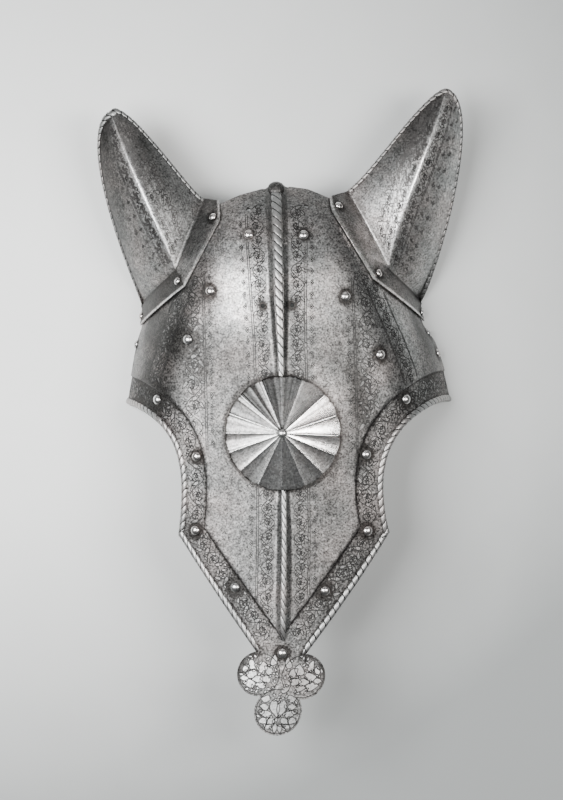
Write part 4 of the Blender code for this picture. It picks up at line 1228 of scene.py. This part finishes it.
# The rondel is polished: a narrow bright highlight that breaks at every rib.
rondel_steel = steel("bright_worn_steel", "f2f3f2", "2a2928", 0.40, 0.24, 0.5)
turned = RIB_ANGLES[1:] + (RIB_ANGLES[0] + 360,)
angles = np.radians(np.concatenate([
    start + (end - start) * PETAL_SPOTS for start, end in zip(RIB_ANGLES, turned)]))
shares = np.tile(PETAL_SPOTS, len(RIB_ANGLES))
columns = len(angles)
radii = np.linspace(RONDEL_HOLE, RONDEL_RADIUS, RONDEL_RINGS)
bulge = PETAL_BULGE / RONDEL_RADIUS * np.sin(math.pi * shares)**0.7
rings = []
for radius in radii:
    reach = radius * (1 + bulge * (radius / RONDEL_RADIUS)**4)
    rings.append(np.stack((reach * np.cos(angles), reach * np.sin(angles),
                           rondel_height(reach, shares, angles)), 1))
axis = np.array((station_at(np.array((RONDEL_RIVET_Y,)))[0, 0], RONDEL_RIVET_Y, 0)) + SHIFT
outer = np.concatenate(rings) + axis
inner = outer - (0, 0, RONDEL_SHEET)
torn = (angles > math.radians(TEAR[0])) & (angles < math.radians(TEAR[1]))
faces = [(i, n, k, j) for i, j, k, n in grid_faces(RONDEL_RINGS, columns, closed=True)
         if i < TEAR_RING * columns or not torn[i % columns]]
rondel = new_object(
    "rondel_sheet", np.concatenate((outer, inner)), close_sheet(faces, len(outer)), rondel_steel)
rondel.data.set_sharp_from_angle(angle=math.radians(50))

# Tone of the rondel: random streaks, painted light and shade by angle, a painted dark line at the rim,
# painted contact shade with tarnish round the middle rivet, and painted highlights with some wear
# along the ribs.
ring = np.repeat(radii, columns)
streak = np.interp(np.arange(columns) / columns, np.linspace(0, 1, 241),
                   np.random.default_rng(3).normal(0, 0.09, 241))
tone = streak + 0.001 * np.interp(np.degrees(angles) % 360, *RONDEL_PAINTED_LIGHT)
tone = np.tile(tone, RONDEL_RINGS) + fading_tone(RONDEL_RADIUS - ring, 0.5, 0.6 * MM)
tone += fading_tone(ring - 4.2 * MM, 0.4, 1.4 * MM)
tone -= fading_tone(from_rib(ring, np.tile(shares, RONDEL_RINGS)), 0.3, 0.6 * MM)
paint(rondel, np.concatenate((tone, np.full(len(tone), 0.3))))
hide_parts("rondel")
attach(rondel, "root")


# ---------------------------------------------------------------------------
# rivets
# Round headed steel rivets. Every head is a filed dome, every tail a flat button hammered over
# inside the armour.

SHANK_RADIUS = 1.9 * MM
TAIL_RADIUS = 3.0 * MM
TAIL_HEIGHT = 1.0 * MM
HEAD_GAP = 0.3 * MM
TAIL_GAP = 0.6 * MM


def rivet_tree():
    """Node tree that sets a head, a tail and a shank on every point and joins them.

    The points carry normal, head_radius, head_height, shank_length, and how far the middles of
    the shank and of the tail stand above them.
    """
    tree, given = start_tree("rivet_set", {
        "Places": "Geometry", "Head Gap": "Float", "Tail Radius": "Float",
        "Tail Height": "Float", "Shank Radius": "Float", "Material": "Material"}, "Rivets", {
        "normal": "FLOAT_VECTOR", "head_radius": "FLOAT", "head_height": "FLOAT",
        "tail_lift": "FLOAT", "shank_lift": "FLOAT", "shank_length": "FLOAT"})
    turn = add_node(tree, "FunctionNodeAlignRotationToVector", {"axis": "Z"}, {
        "Vector": given["normal"]})
    ball = add_node(tree, "GeometryNodeMeshUVSphere", inputs={
        "Segments": 28, "Rings": 18, "Radius": 1.0})
    rod = add_node(tree, "GeometryNodeMeshCylinder", inputs={
        "Vertices": 20, "Radius": 1.0, "Depth": 1.0})
    # A head is a ball with its lower half pressed nearly flat.
    spot = add_node(tree, "GeometryNodeInputPosition")
    height = add_node(tree, "ShaderNodeSeparateXYZ", inputs=(spot,)).outputs["Z"]
    below = add_node(tree, "ShaderNodeMath", {"operation": "LESS_THAN"}, (height, 0.0))
    pressed = add_node(
        tree, "ShaderNodeVectorMath", {"operation": "MULTIPLY"}, (spot, (1.0, 1.0, 0.06)))
    dome = add_node(tree, "GeometryNodeSetPosition", inputs={
        "Geometry": ball, "Selection": below, "Position": pressed})
    joined = add_node(tree, "GeometryNodeJoinGeometry")
    for shape, lift, width, height in (
            (dome, "Head Gap", "head_radius", "head_height"),
            (ball, "tail_lift", "Tail Radius", "Tail Height"),
            (rod, "shank_lift", "Shank Radius", "shank_length")):
        shift = add_node(tree, "ShaderNodeVectorMath", {"operation": "MULTIPLY"}, (
            given["normal"], given[lift]))
        places = add_node(tree, "GeometryNodeSetPosition", inputs={
            "Geometry": given["Places"], "Offset": shift})
        scale = add_node(tree, "ShaderNodeCombineXYZ", inputs=(
            given[width], given[width], given[height]))
        part = add_node(tree, "GeometryNodeInstanceOnPoints", inputs={
            "Points": places, "Instance": shape, "Rotation": turn, "Scale": scale})
        tree.links.new(part.outputs[0], joined.inputs["Geometry"])
    return end_tree(tree, "Rivets", joined, given["Material"])


a, y, head_radius, head_height = np.concatenate((PLATE_RIVETS, STRAP_RIVETS, FLANGE_RIVETS)).T
raised = np.zeros(len(a))
raised[-len(FLANGE_RIVETS):] = FLANGE_GAP + EAR_SHEET
normals = normal_at(a, y)
places = surface(a, y) + normals * (band_level(a, y) * (raised == 0) + raised)[:, None]
# The last rivet holds the rondel, and stands upright on its middle.
seat = RONDEL_RIM_Z + RONDEL_RISE * (1 - RONDEL_HOLE / RONDEL_RADIUS)
crown = surface(np.zeros(1), np.array((RONDEL_RIVET_Y,)))[0, 2]
places = np.concatenate((places, [axis + (0, 0, seat)]))
normals = np.concatenate((normals, [(0, 0, 1)]))
grip = PLATE_SHEET + np.append(raised, seat - crown)
tilt = np.random.default_rng(7).normal(0, 0.03, (len(places), 3))
tilt[-1] = 0
# Filed heads, the brightest metal of the armour, each with a sharp spot of light.
rivet_steel = steel("bright_rivet_steel", "f0f0ef", "3a3836", 0.3, 0.26, 0.3)
rivets = grown(
    "rivets", places, [], normals + tilt, {
        "head_radius": np.append(head_radius, 3.6 * MM) * 1.05,
        "head_height": np.append(head_height, 2.8 * MM),
        "tail_lift": -TAIL_GAP - grip, "shank_lift": -0.5 * (grip + TAIL_GAP - HEAD_GAP),
        "shank_length": grip + TAIL_GAP + HEAD_GAP},
    rivet_tree(), {
        "Head Gap": HEAD_GAP, "Tail Radius": TAIL_RADIUS, "Tail Height": TAIL_HEIGHT,
        "Shank Radius": SHANK_RADIUS, "Material": rivet_steel})
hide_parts(*[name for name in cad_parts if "rivet" in name])
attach(rivets, "root")


# ---------------------------------------------------------------------------
# etched ornament
# Running scrolls, leaves, florets and double lines bitten into the steel with acid. The leaves
# stay bright and a little proud, the lines round them are dark.

LINE_WIDTH = 0.62 * MM
NOSE_LINE_WIDTH = 0.72 * MM
LINE_END = 0.4
LINE_LIFT = 0.09 * MM
LEAF_LIFT = 0.06 * MM
LEAF_POINTS = 17
# Room that ornament leaves round rivets and holes.
PIECE_GAP = 0.8 * MM


def leaf(base, angle, length, width, bend=0.0):
    """Left and right side of a pointed leaf that grows from its base at an angle."""
    t = np.linspace(0, 1, LEAF_POINTS)
    half = width / 2 * np.sin(math.pi * t**0.8)
    axis = np.stack((t, bend * t * t), 1) * length
    sides = [axis + np.stack((0 * t, half), 1), axis - np.stack((0 * t, half), 1)]
    turn = np.array(((math.cos(angle), math.sin(angle)), (-math.sin(angle), math.cos(angle))))
    return [side @ turn + base for side in sides]


def spiral(centre, first, last, start, turn, count=26):
    """Line that curls in round a centre, and the direction it runs in at each point."""
    u = np.linspace(0, 1, count)
    radius = first + (last - first) * u**0.85
    angle = start + turn * u
    points = centre + radius[:, None] * np.stack((np.cos(angle), np.sin(angle)), 1)
    run = np.gradient(points, axis=0)
    return points, np.arctan2(run[:, 1], run[:, 0])


# No two leaves are alike: the hand that draws them varies their size and place a little.
hand = np.random.default_rng(11)


def clear_leaves(leaves, share=0.44):
    """The leaves of a list whose middles lie clear of the leaves before them."""
    kept = []
    middles = []
    for pair in leaves:
        left, right = (side[LEAF_POINTS // 2] for side in pair)
        middle = (left + right) / 2
        width = np.linalg.norm(left - right)
        if all(np.linalg.norm(middle - place) > share * (width + other) for place, other in middles):
            kept.append(pair)
            middles.append((middle, width))
    return kept


# Leaves on the outer, then on the inner side of a curl: the points of the curl they stand on,
# how far they lean away from it, their length in shares of its reach, and their hook.
CURL_LEAVES = ((range(1, 26, 6), -0.9, 0.94, 0.7), (range(3, 24, 6), 0.7, 0.5828, -0.4))
# Leaves on the stem of a scroll: point of the stem, heading, length in shares of the strip.
STEM_LEAVES = ((1, -1.1, 0.5), (4, 0.9, 0.44), (9, -0.3, 0.44), (12, 0.5, 0.4))
# Breadth of a leaf in shares of its length.
LEAF_BREADTH = 0.56


def scroll(centre, reach):
    """Stem that curls in, with hooked leaves on both its sides: its line and its leaves."""
    curl, run = spiral(centre, 0.62 * reach, 0.1 * reach, math.radians(140), math.radians(430), 34)
    leaves = [leaf(curl[-1], run[-1], 0.34 * reach, 0.3 * reach, 0.4)]
    for points, lean, share, hook in CURL_LEAVES:
        for k in points:
            long = share * reach * (1 - 0.018 * k) * hand.uniform(0.88, 1.08)
            leaves.append(leaf(curl[k], run[k] + lean, long, LEAF_BREADTH * long, hook))
    return curl, clear_leaves(leaves)


def scroll_lobe(length, half, way):
    """One lobe of a running scroll in (along, across): its lines and its leaves."""
    u = np.linspace(0, 1, 14)
    stem = np.stack((u * length, 0.8 * half * np.sin(math.pi * u)), 1)
    centre = np.array((0.5 * length, -0.12 * half)) + hand.normal(0, 0.05, 2) * half
    reach = min(0.52 * length, 0.9 * half) * hand.uniform(0.92, 1.04)
    curl, leaves = scroll(centre, reach)
    for k, heading, size in STEM_LEAVES:
        leaves.append(leaf(stem[k], heading, size * half, LEAF_BREADTH * size * half, 0.4))
    mirror = np.array((1, way))
    lines = [line * mirror for line in (curl, stem)]
    leaves = clear_leaves(leaves)
    leaves = [[side * mirror for side in (pair if way > 0 else pair[::-1])] for pair in leaves]
    return lines, leaves


def running_scroll(start, end, half, lobe):
    """Scroll from start to end along a strip, in (along, across)."""
    count = max(1, round((end - start) / lobe))
    length = (end - start) / count
    lines = []
    leaves = []
    for n in range(count):
        shift = np.array((start + n * length, 0))
        more_lines, more_leaves = scroll_lobe(length, half, 1 if n % 2 else -1)
        lines += [line + shift for line in more_lines]
        leaves += [[side + shift for side in pair] for pair in more_leaves]
    return lines, leaves


def floret(centre, heading, size):
    """Small flower of four leaves on a short stalk."""
    centre = np.array(centre)
    toward = np.array((math.cos(heading), math.sin(heading)))
    leaves = [leaf(centre + toward * 0.2 * size, heading + math.radians(lean), 0.55 * size, 0.3 * size)
              for lean in (-75, 0, 75)]
    return [np.array((centre - toward * 0.4 * size, centre + toward * 0.2 * size))], leaves


def laid_along(path, lines, leaves):
    """Move a strip of ornament onto a path of the flat pattern."""
    far = length_along(path)
    run = unit(np.gradient(path, axis=0))

    def place(points):
        centre = np.stack([np.interp(points[:, 0], far, path[:, k]) for k in (0, 1)], 1)
        forward = unit(np.stack([np.interp(points[:, 0], far, run[:, k]) for k in (0, 1)], 1))
        return centre + np.stack((-forward[:, 1], forward[:, 0]), 1) * points[:, 1:]

    return [place(line) for line in lines], [[place(side) for side in pair] for pair in leaves]


def kept_stretches(line, kept):
    """Stretches of a line whose points are kept."""
    ends = np.flatnonzero(np.diff(np.concatenate(([0], kept, [0])).astype(int)))
    return [line[i:j] for i, j in zip(ends[::2], ends[1::2]) if j - i > 1]


def etch(name, parts, clear, place, line_steel, leaf_steel, width, tone):
    """Make the lines and leaves of all parts that are clear of other pieces as thin sheets."""
    lines = [line for part in parts for line in part[0]]
    leaves = [pair for part in parts for pair in part[1]]
    outlines = [np.concatenate((left, right[::-1])) for left, right in leaves]
    ends = np.cumsum([len(line) for line in lines + outlines])
    flags = np.split(clear(np.concatenate(lines + outlines)), ends[:-1])
    strokes = []
    for line, kept in zip(lines, flags):
        strokes += kept_stretches(line, kept)
    whole = [flag.all() for flag in flags[len(lines):]]
    strokes += [line for line, kept in zip(outlines, whole) if kept]
    sheets = {"lines": [], "leaves": [
        (left, (left + right) / 2, right) for (left, right), kept in zip(leaves, whole) if kept]}
    for line in strokes:
        run = unit(np.gradient(line, axis=0))
        across = np.stack((-run[:, 1], run[:, 0]), 1) * width / 2
        across[[0, -1]] *= LINE_END
        sheets["lines"].append((line + across, line - across))
    for kind, lift, steel_kind in (("lines", LINE_LIFT, line_steel),
                                   ("leaves", LEAF_LIFT, leaf_steel)):
        faces = []
        count = 0
        for rails in sheets[kind]:
            for face in grid_faces(len(rails), len(rails[0])):
                faces.append(tuple(count + i for i in face[::-1]))
            count += len(rails) * len(rails[0])
        points = np.concatenate([rail for rails in sheets[kind] for rail in rails])
        made = new_object(f"{name}_{kind}", place(points, lift), faces, steel_kind)
        if kind == "leaves":
            paint(made, tone(*points.T))
        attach(made, "root")


def tarnished(name, dark, light, metallic, roughness):
    """Etched surface whose dark tone is worn back toward the steel in clouds."""
    made, tree, shader, place = new_material(name)
    # Clouds of eighteen millimetres and a grain of a millimetre and a half.
    worn = add_node(tree, "ShaderNodeTexNoise", inputs={
        "Vector": place, "Scale": 1 / (18 * MM), "Detail": 6.0, "Roughness": 0.7})
    share = add_node(tree, "ShaderNodeMapRange", inputs={
        "Value": worn, "From Min": 0.35, "From Max": 0.65})
    tone = add_node(tree, "ShaderNodeMix", {"data_type": "RGBA"}, {
        "Factor": share, "A": linear(dark), "B": linear(light)})
    grain = add_node(tree, "ShaderNodeTexNoise", inputs={
        "Vector": place, "Scale": 1 / (1.4 * MM), "Detail": 2.0})
    bump = add_node(tree, "ShaderNodeBump", inputs={
        "Height": grain, "Distance": 0.2 * MM, "Strength": 0.6})
    fill_inputs(tree, shader, {
        "Metallic": metallic, "Roughness": roughness, "Base Color": tone, "Normal": bump})
    return made


# Lines bitten with acid: nearly black in the border, browner and greyer where they are rubbed.
# The leaves between them keep the sheen of the steel.
etched_line = tarnished("etched_line_black", "080808", "262524", 0.4, 0.6)
worn_line = tarnished("worn_etched_line", "111010", "353433", 0.5, 0.55)
faint_line = tarnished("rubbed_etched_line", "1c1b1b", "565453", 0.6, 0.5)
etched_leaf = steel("etched_leaf_steel", "e4e5e4", "3a3938", 0.66, 0.40, 0.45)
polished_leaf = steel("polished_leaf_steel", "f2f3f2", "3a3938", 0.52, 0.38, 0.3)

# Width of the plain strip that ornament leaves beside a rope.
REACH_FROM_ROPE = 5.9 * MM


def plate_place(points, lift):
    """Points lifted off the face of the plate, with its band, field and ridge."""
    a, y = points.T
    return lifted(a, y, band_level(a, y) + ridge_level(a, y) + lift)


def clear_of_pieces(points):
    """Places on the plate that no rivet, hole or ridge covers."""
    kept = inside(outline, points)
    for disc in np.concatenate((PLATE_RIVETS[:, :3], STRAP_RIVETS[:, :3], HOLES)):
        kept &= reach_from(disc, points) > PIECE_GAP
    return kept & (abs(points[:, 0]) > ridge_at(points[:, 1])[1] + 0.4 * MM)


def clear_in_band(points):
    """Places in the sunk border, off the rope and the step, that no piece covers."""
    reach = edge_reach(*points.T)
    width = band_width(points[:, 0])
    return clear_of_pieces(points) & (reach > REACH_FROM_ROPE) & (reach < width - 1.4 * MM)


def clear_in_field(points):
    """Places on the raised field that no piece or ear guard covers."""
    a, y = points.T
    seen = surface(a, y)[:, :2] - SHIFT[:2]
    kept = clear_of_pieces(points) & (edge_reach(a, y) > band_width(a) + 1.6 * MM)
    for side in (-1, 1):
        kept &= distance_to(FLANGE_EDGE[side][1:], seen) > 1.2 * MM
        kept &= ~inside(np.concatenate((FLANGE_EDGE[side], EAR_BEND[side][::-1])), seen)
    return kept


def scroll_on(path, start, end, half, lobe):
    """Running scroll laid along a path of the flat pattern: its lines and its leaves."""
    return laid_along(path, *running_scroll(start, end, half, lobe))


# Border band: one scroll along the taper and one round the eye cut on each side.
parts = []
for side in (-1, 1):
    middle = side * (REACH_FROM_ROPE + BAND_WIDTH[side]) / 2
    half = (BAND_WIDTH[side] - REACH_FROM_ROPE) / 2 - 0.6 * MM
    corner = len(EDGES[side]) - CUT_STEPS - 1
    for stretch, start, trim in ((EDGES[side][:corner + 1], 4 * MM, 14 * MM),
                                 (EDGES[side][corner:], 12 * MM, 4 * MM)):
        path = split(offset(stretch, middle), 2 * MM)
        parts.append(scroll_on(path, start, length_along(path)[-1] - trim, half, 15 * MM))
etch("border_scroll", parts, clear_in_band, plate_place, etched_line, etched_leaf, LINE_WIDTH,
     plate_tone)

# Field: double lines and a scroll on each side of the ridge, a second pair of lines further
# out with larger scrolls beyond it, a third scroll over the crease, and florets on the lines.
DOUBLE_LINES = (
    # points of (a, y), on the left and on the right
    ((-24.8, 150), (-24.8, 130), (-21, 50), (-21, -80), (-22.4, -178)),
    ((-62, 104), (-62, -40)),
    ((24, 150), (22.4, 110), (20.4, 50), (20, -80), (20, -178)),
    ((61, 98), (61, -45)),
)
LINE_PAIR_GAP = 1.6 * MM
FLORET_SIZE = 4.2 * MM
parts = []
for corners in DOUBLE_LINES:
    path = split(MM * np.array(corners, float), 2 * MM)
    parts.append(([offset(path, way * LINE_PAIR_GAP) for way in (-0.5, 0.5)], []))
    outward = math.copysign(1, corners[0][0]) * (1 if abs(corners[0][0]) < 40 else -1)
    for y in np.arange(corners[-1][1] + 6, corners[0][1] - 4, 9.5):
        x = np.interp(y, [c[1] for c in corners[::-1]], [c[0] for c in corners[::-1]])
        parts.append(floret(MM * np.array((x + outward * 3.6, y)), 0 if outward > 0 else math.pi,
                            FLORET_SIZE))
for side in (-1, 1):
    ys = MM * np.arange(158, -190, -2.0)
    foot = ridge_at(ys)[1] + 0.6 * MM
    inner_line = np.interp(-ys, -MM * np.array((150, 110, 50, -80, -178)),
                           MM * np.array((24.4, 23.4, 20.6, 20.4, 21.0))) - 1.4 * MM
    path = np.stack((side * (foot + inner_line) / 2, ys), 1)
    parts.append(scroll_on(path, 0, 346 * MM, 6.4 * MM, 11.8 * MM))
    path = MM * np.array(((side * 72.5, 104), (side * 72.5, -30)))
    parts.append(scroll_on(path, 0, 134 * MM, 9.0 * MM, 16 * MM))
    ys = MM * np.arange(96, 6, -2.0)
    front, _, _ = side_chord(ys, side)
    path = np.stack((side * (front + 13 * MM), ys), 1)
    parts.append(scroll_on(path, 0, 92 * MM, 7.5 * MM, 14 * MM))
    parts.append(([path + (way * MM, 0) for way in (-9.5, -8.3, 9.5, 10.7)], []))
etch("field_scroll", parts, clear_in_field, plate_place, worn_line, etched_leaf, LINE_WIDTH,
     plate_tone)

# Trefoil: a line inside the edge and a tie below the rivet. A flat stem sweeps from the tie
# under each upper disc, below broad leaves; in the lower disc a heart stands between two curls
# over a fan. Small leaves fill the ground that is left.
UPPER_LEAVES = (
    # outward and up from the disc's middle, heading in degrees, length, width, hook; in radii
    (-0.70, 0.36, 60, 0.40, 0.26, 0.5),
    (-0.50, 0.36, 104, 0.46, 0.32, -0.4),
    (-0.14, 0.42, 76, 0.44, 0.32, 0.5),
    (-0.62, 0.06, 14, 0.40, 0.28, 0.4),
    (-0.22, 0.04, 66, 0.44, 0.34, 0.3),
    (0.12, -0.10, 34, 0.42, 0.32, -0.4),
    (-0.52, -0.16, -30, 0.40, 0.28, 0.4),
    (-0.16, -0.16, -34, 0.40, 0.30, 0.4),
    (-0.32, -0.46, -24, 0.40, 0.24, 0.4),
    (0.16, -0.40, -20, 0.46, 0.30, 0.4),
    (0.48, -0.16, -24, 0.32, 0.22, 0.3),
    (0.20, 0.26, 30, 0.40, 0.26, 0.6),
    (0.24, 0.62, 4, 0.38, 0.22, -0.4),
    (0.64, 0.06, 84, 0.32, 0.18, 0.3),
)
LOWER_LEAVES = (
    (0.21, 0.50, -98, 0.66, 0.30, -0.1),
    (0.14, 0.74, 72, 0.36, 0.20, -0.5),
    (0.36, 0.48, 24, 0.32, 0.24, -0.3),
    (0.40, 0.20, -12, 0.32, 0.22, 0.3),
    (0.28, -0.06, -26, 0.40, 0.26, 0.5),
    (0.18, -0.26, -66, 0.34, 0.22, 0.4),
    (0.44, -0.30, -40, 0.32, 0.24, 0.3),
    (0.08, -0.50, -84, 0.36, 0.15, 0.0),
    (0.28, -0.52, -56, 0.26, 0.18, 0.3),
)
# How much longer and wider than in the tables the leaves are cut, how far the line stands
# inside the edge, and the number of small leaves a disc.
LEAF_LONGER = 1.16
LEAF_WIDER = 1.36
NOSE_LINE_INSET = 1.5 * MM
SMALL_LEAVES = 70
NOSE_TOP_Y = -199 * MM
lines = []
leaves = []
for n, (a, y, radius) in enumerate(NOSE_DISCS):
    centre = np.array((a, y))
    angle = np.linspace(0, math.tau, 73)
    ring = centre + (radius - NOSE_LINE_INSET) * np.stack((np.cos(angle), np.sin(angle)), 1)
    kept = np.ones(len(ring), bool)
    for other, disc in enumerate(NOSE_DISCS):
        if other != n:
            kept &= reach_from(disc, ring) > -NOSE_LINE_INSET
    lines += kept_stretches(ring, kept)
    for way in ((-1, 1) if n == 1 else (math.copysign(1, a),)):
        for out, up, heading, long, wide, hook in LOWER_LEAVES if n == 1 else UPPER_LEAVES:
            pair = leaf(radius * np.array((out, up)), math.radians(heading),
                        LEAF_LONGER * long * radius, LEAF_WIDER * wide * radius, hook)
            pair = [line * (way, 1) + centre for line in pair]
            leaves.append(pair if way > 0 else pair[::-1])
        if n == 1:
            curl, _ = spiral(centre + (way * 0.72 * radius, 0.0), 0.17 * radius, 0.04 * radius,
                             math.radians(90 + way * 60), way * math.radians(500))
            lines.append(curl)
        else:
            sweep = np.array(((-0.84, 0.40), (-0.84, -0.2), (-0.5, -0.76), (0.5, -0.74)))
            stem = centre + bezier(sweep, np.linspace(0, 1, LEAF_POINTS)) * radius * (way, 1)
            leaves.append([offset(stem, 0.05 * radius), offset(stem, -0.05 * radius)])
    for share, angle, lean in hand.uniform(0, 1, (SMALL_LEAVES, 3)) * (1, math.tau, math.tau):
        base = centre + 0.84 * radius * math.sqrt(share) * np.array((math.cos(angle), math.sin(angle)))
        leaves.append(leaf(base, lean, 0.17 * radius, 0.12 * radius, 0.5))
lines.append(MM * np.array(((-4, -213.4), (0, -213), (4, -213.4))))
trefoil_edge = nose_outline()


def clear_on_nose(points):
    """Places well inside the trefoil that the nose rivet doesn't cover."""
    kept = distance_to(np.concatenate((trefoil_edge, trefoil_edge[:1])), points) > 1.2 * MM
    kept &= inside(outline, points) & (points[:, 1] < NOSE_TOP_Y)
    return kept & (reach_from(PLATE_RIVETS[-1, :3], points) > PIECE_GAP)


def nose_tone(a, y):
    """Tone of the trefoil's leaves: polished brighter than the ground between them."""
    return plate_tone(a, y) - 0.44


etch("trefoil_foliage", [(lines, clear_leaves(leaves, 0.34))], clear_on_nose, plate_place,
     worn_line, polished_leaf, NOSE_LINE_WIDTH, nose_tone)

# Ear guards: scrolls on both sides of the keel between double lines, a finer scroll on the
# inner flank, florets on the outer flank. A flank is arched, so it is wider than its chord.
FLANK_ARCH = 1.12
EAR_PLAIN_END = 8 * MM
for side, name in ((-1, "ear_scroll_left"), (1, "ear_scroll_right")):
    rows = np.linspace(0, 0.97, 90)
    keel = ear_point(side, rows, 0 * rows + 1)
    keel_far = length_along(keel)
    widths = [FLANK_ARCH * np.linalg.norm(keel - ear_point(side, rows, 0 * rows + s), axis=1)
              for s in (0, 2)]

    def on_flank(points):
        """Way up the keel, distance from it (below zero inward) and width of the flank."""
        t = np.interp(points[:, 0], keel_far, rows)
        flank = side * points[:, 1]
        return t, flank, np.where(flank < 0, *(np.interp(t, rows, width) for width in widths))

    def ear_place(points, lift):
        """Points lifted off the ear guard, for places up its keel and across it."""
        t, flank, width = on_flank(points)
        s = 1 + np.clip(flank / width, -1, 1)
        step = 0.004
        along = ear_point(side, np.minimum(t + step, 1), s) - ear_point(side, t - step, s)
        across = (ear_point(side, t, np.minimum(s + step, 2))
                  - ear_point(side, t, np.maximum(s - step, 0)))
        return ear_point(side, t, s) + side * unit(np.cross(across, along)) * lift

    def clear_on_ear(points):
        """Places between the keel and the rope, and between the bend and the tip."""
        t, flank, width = on_flank(points)
        fits = (abs(flank) < width - 4.2 * MM) & (abs(flank) > 0.9 * MM)
        return fits & (points[:, 0] > 7 * MM) & (t < 0.93)

    def ear_leaf_tone(u, v):
        """Tone of the leaves, the same as that of the flank they lie on."""
        return ear_tone(side, np.interp(u, keel_far, rows), side * v < 0)

    length = keel_far[-1]
    parts = []
    for across, half, lobe in ((-6.6, 5.4, 11), (6.6, 5.4, 11), (-22, 8, 14)):
        path = np.array(((0, side * across * MM), (length, side * across * MM)))
        parts.append(scroll_on(path, EAR_PLAIN_END, length - EAR_PLAIN_END, half * MM, lobe * MM))
    us = np.arange(EAR_PLAIN_END, length, 2 * MM)
    for across in (-12.6, -13.9, 12.6, 13.9):
        parts.append(([np.stack((us, 0 * us + side * across * MM), 1)], []))
    for across in (19, 27):
        for u in np.arange(12 * MM, length - EAR_PLAIN_END, 11 * MM):
            parts.append(floret((u, side * across * MM), 0.0, FLORET_SIZE))
    etch(name, parts, clear_on_ear, ear_place, faint_line, etched_leaf, LINE_WIDTH, ear_leaf_tone)
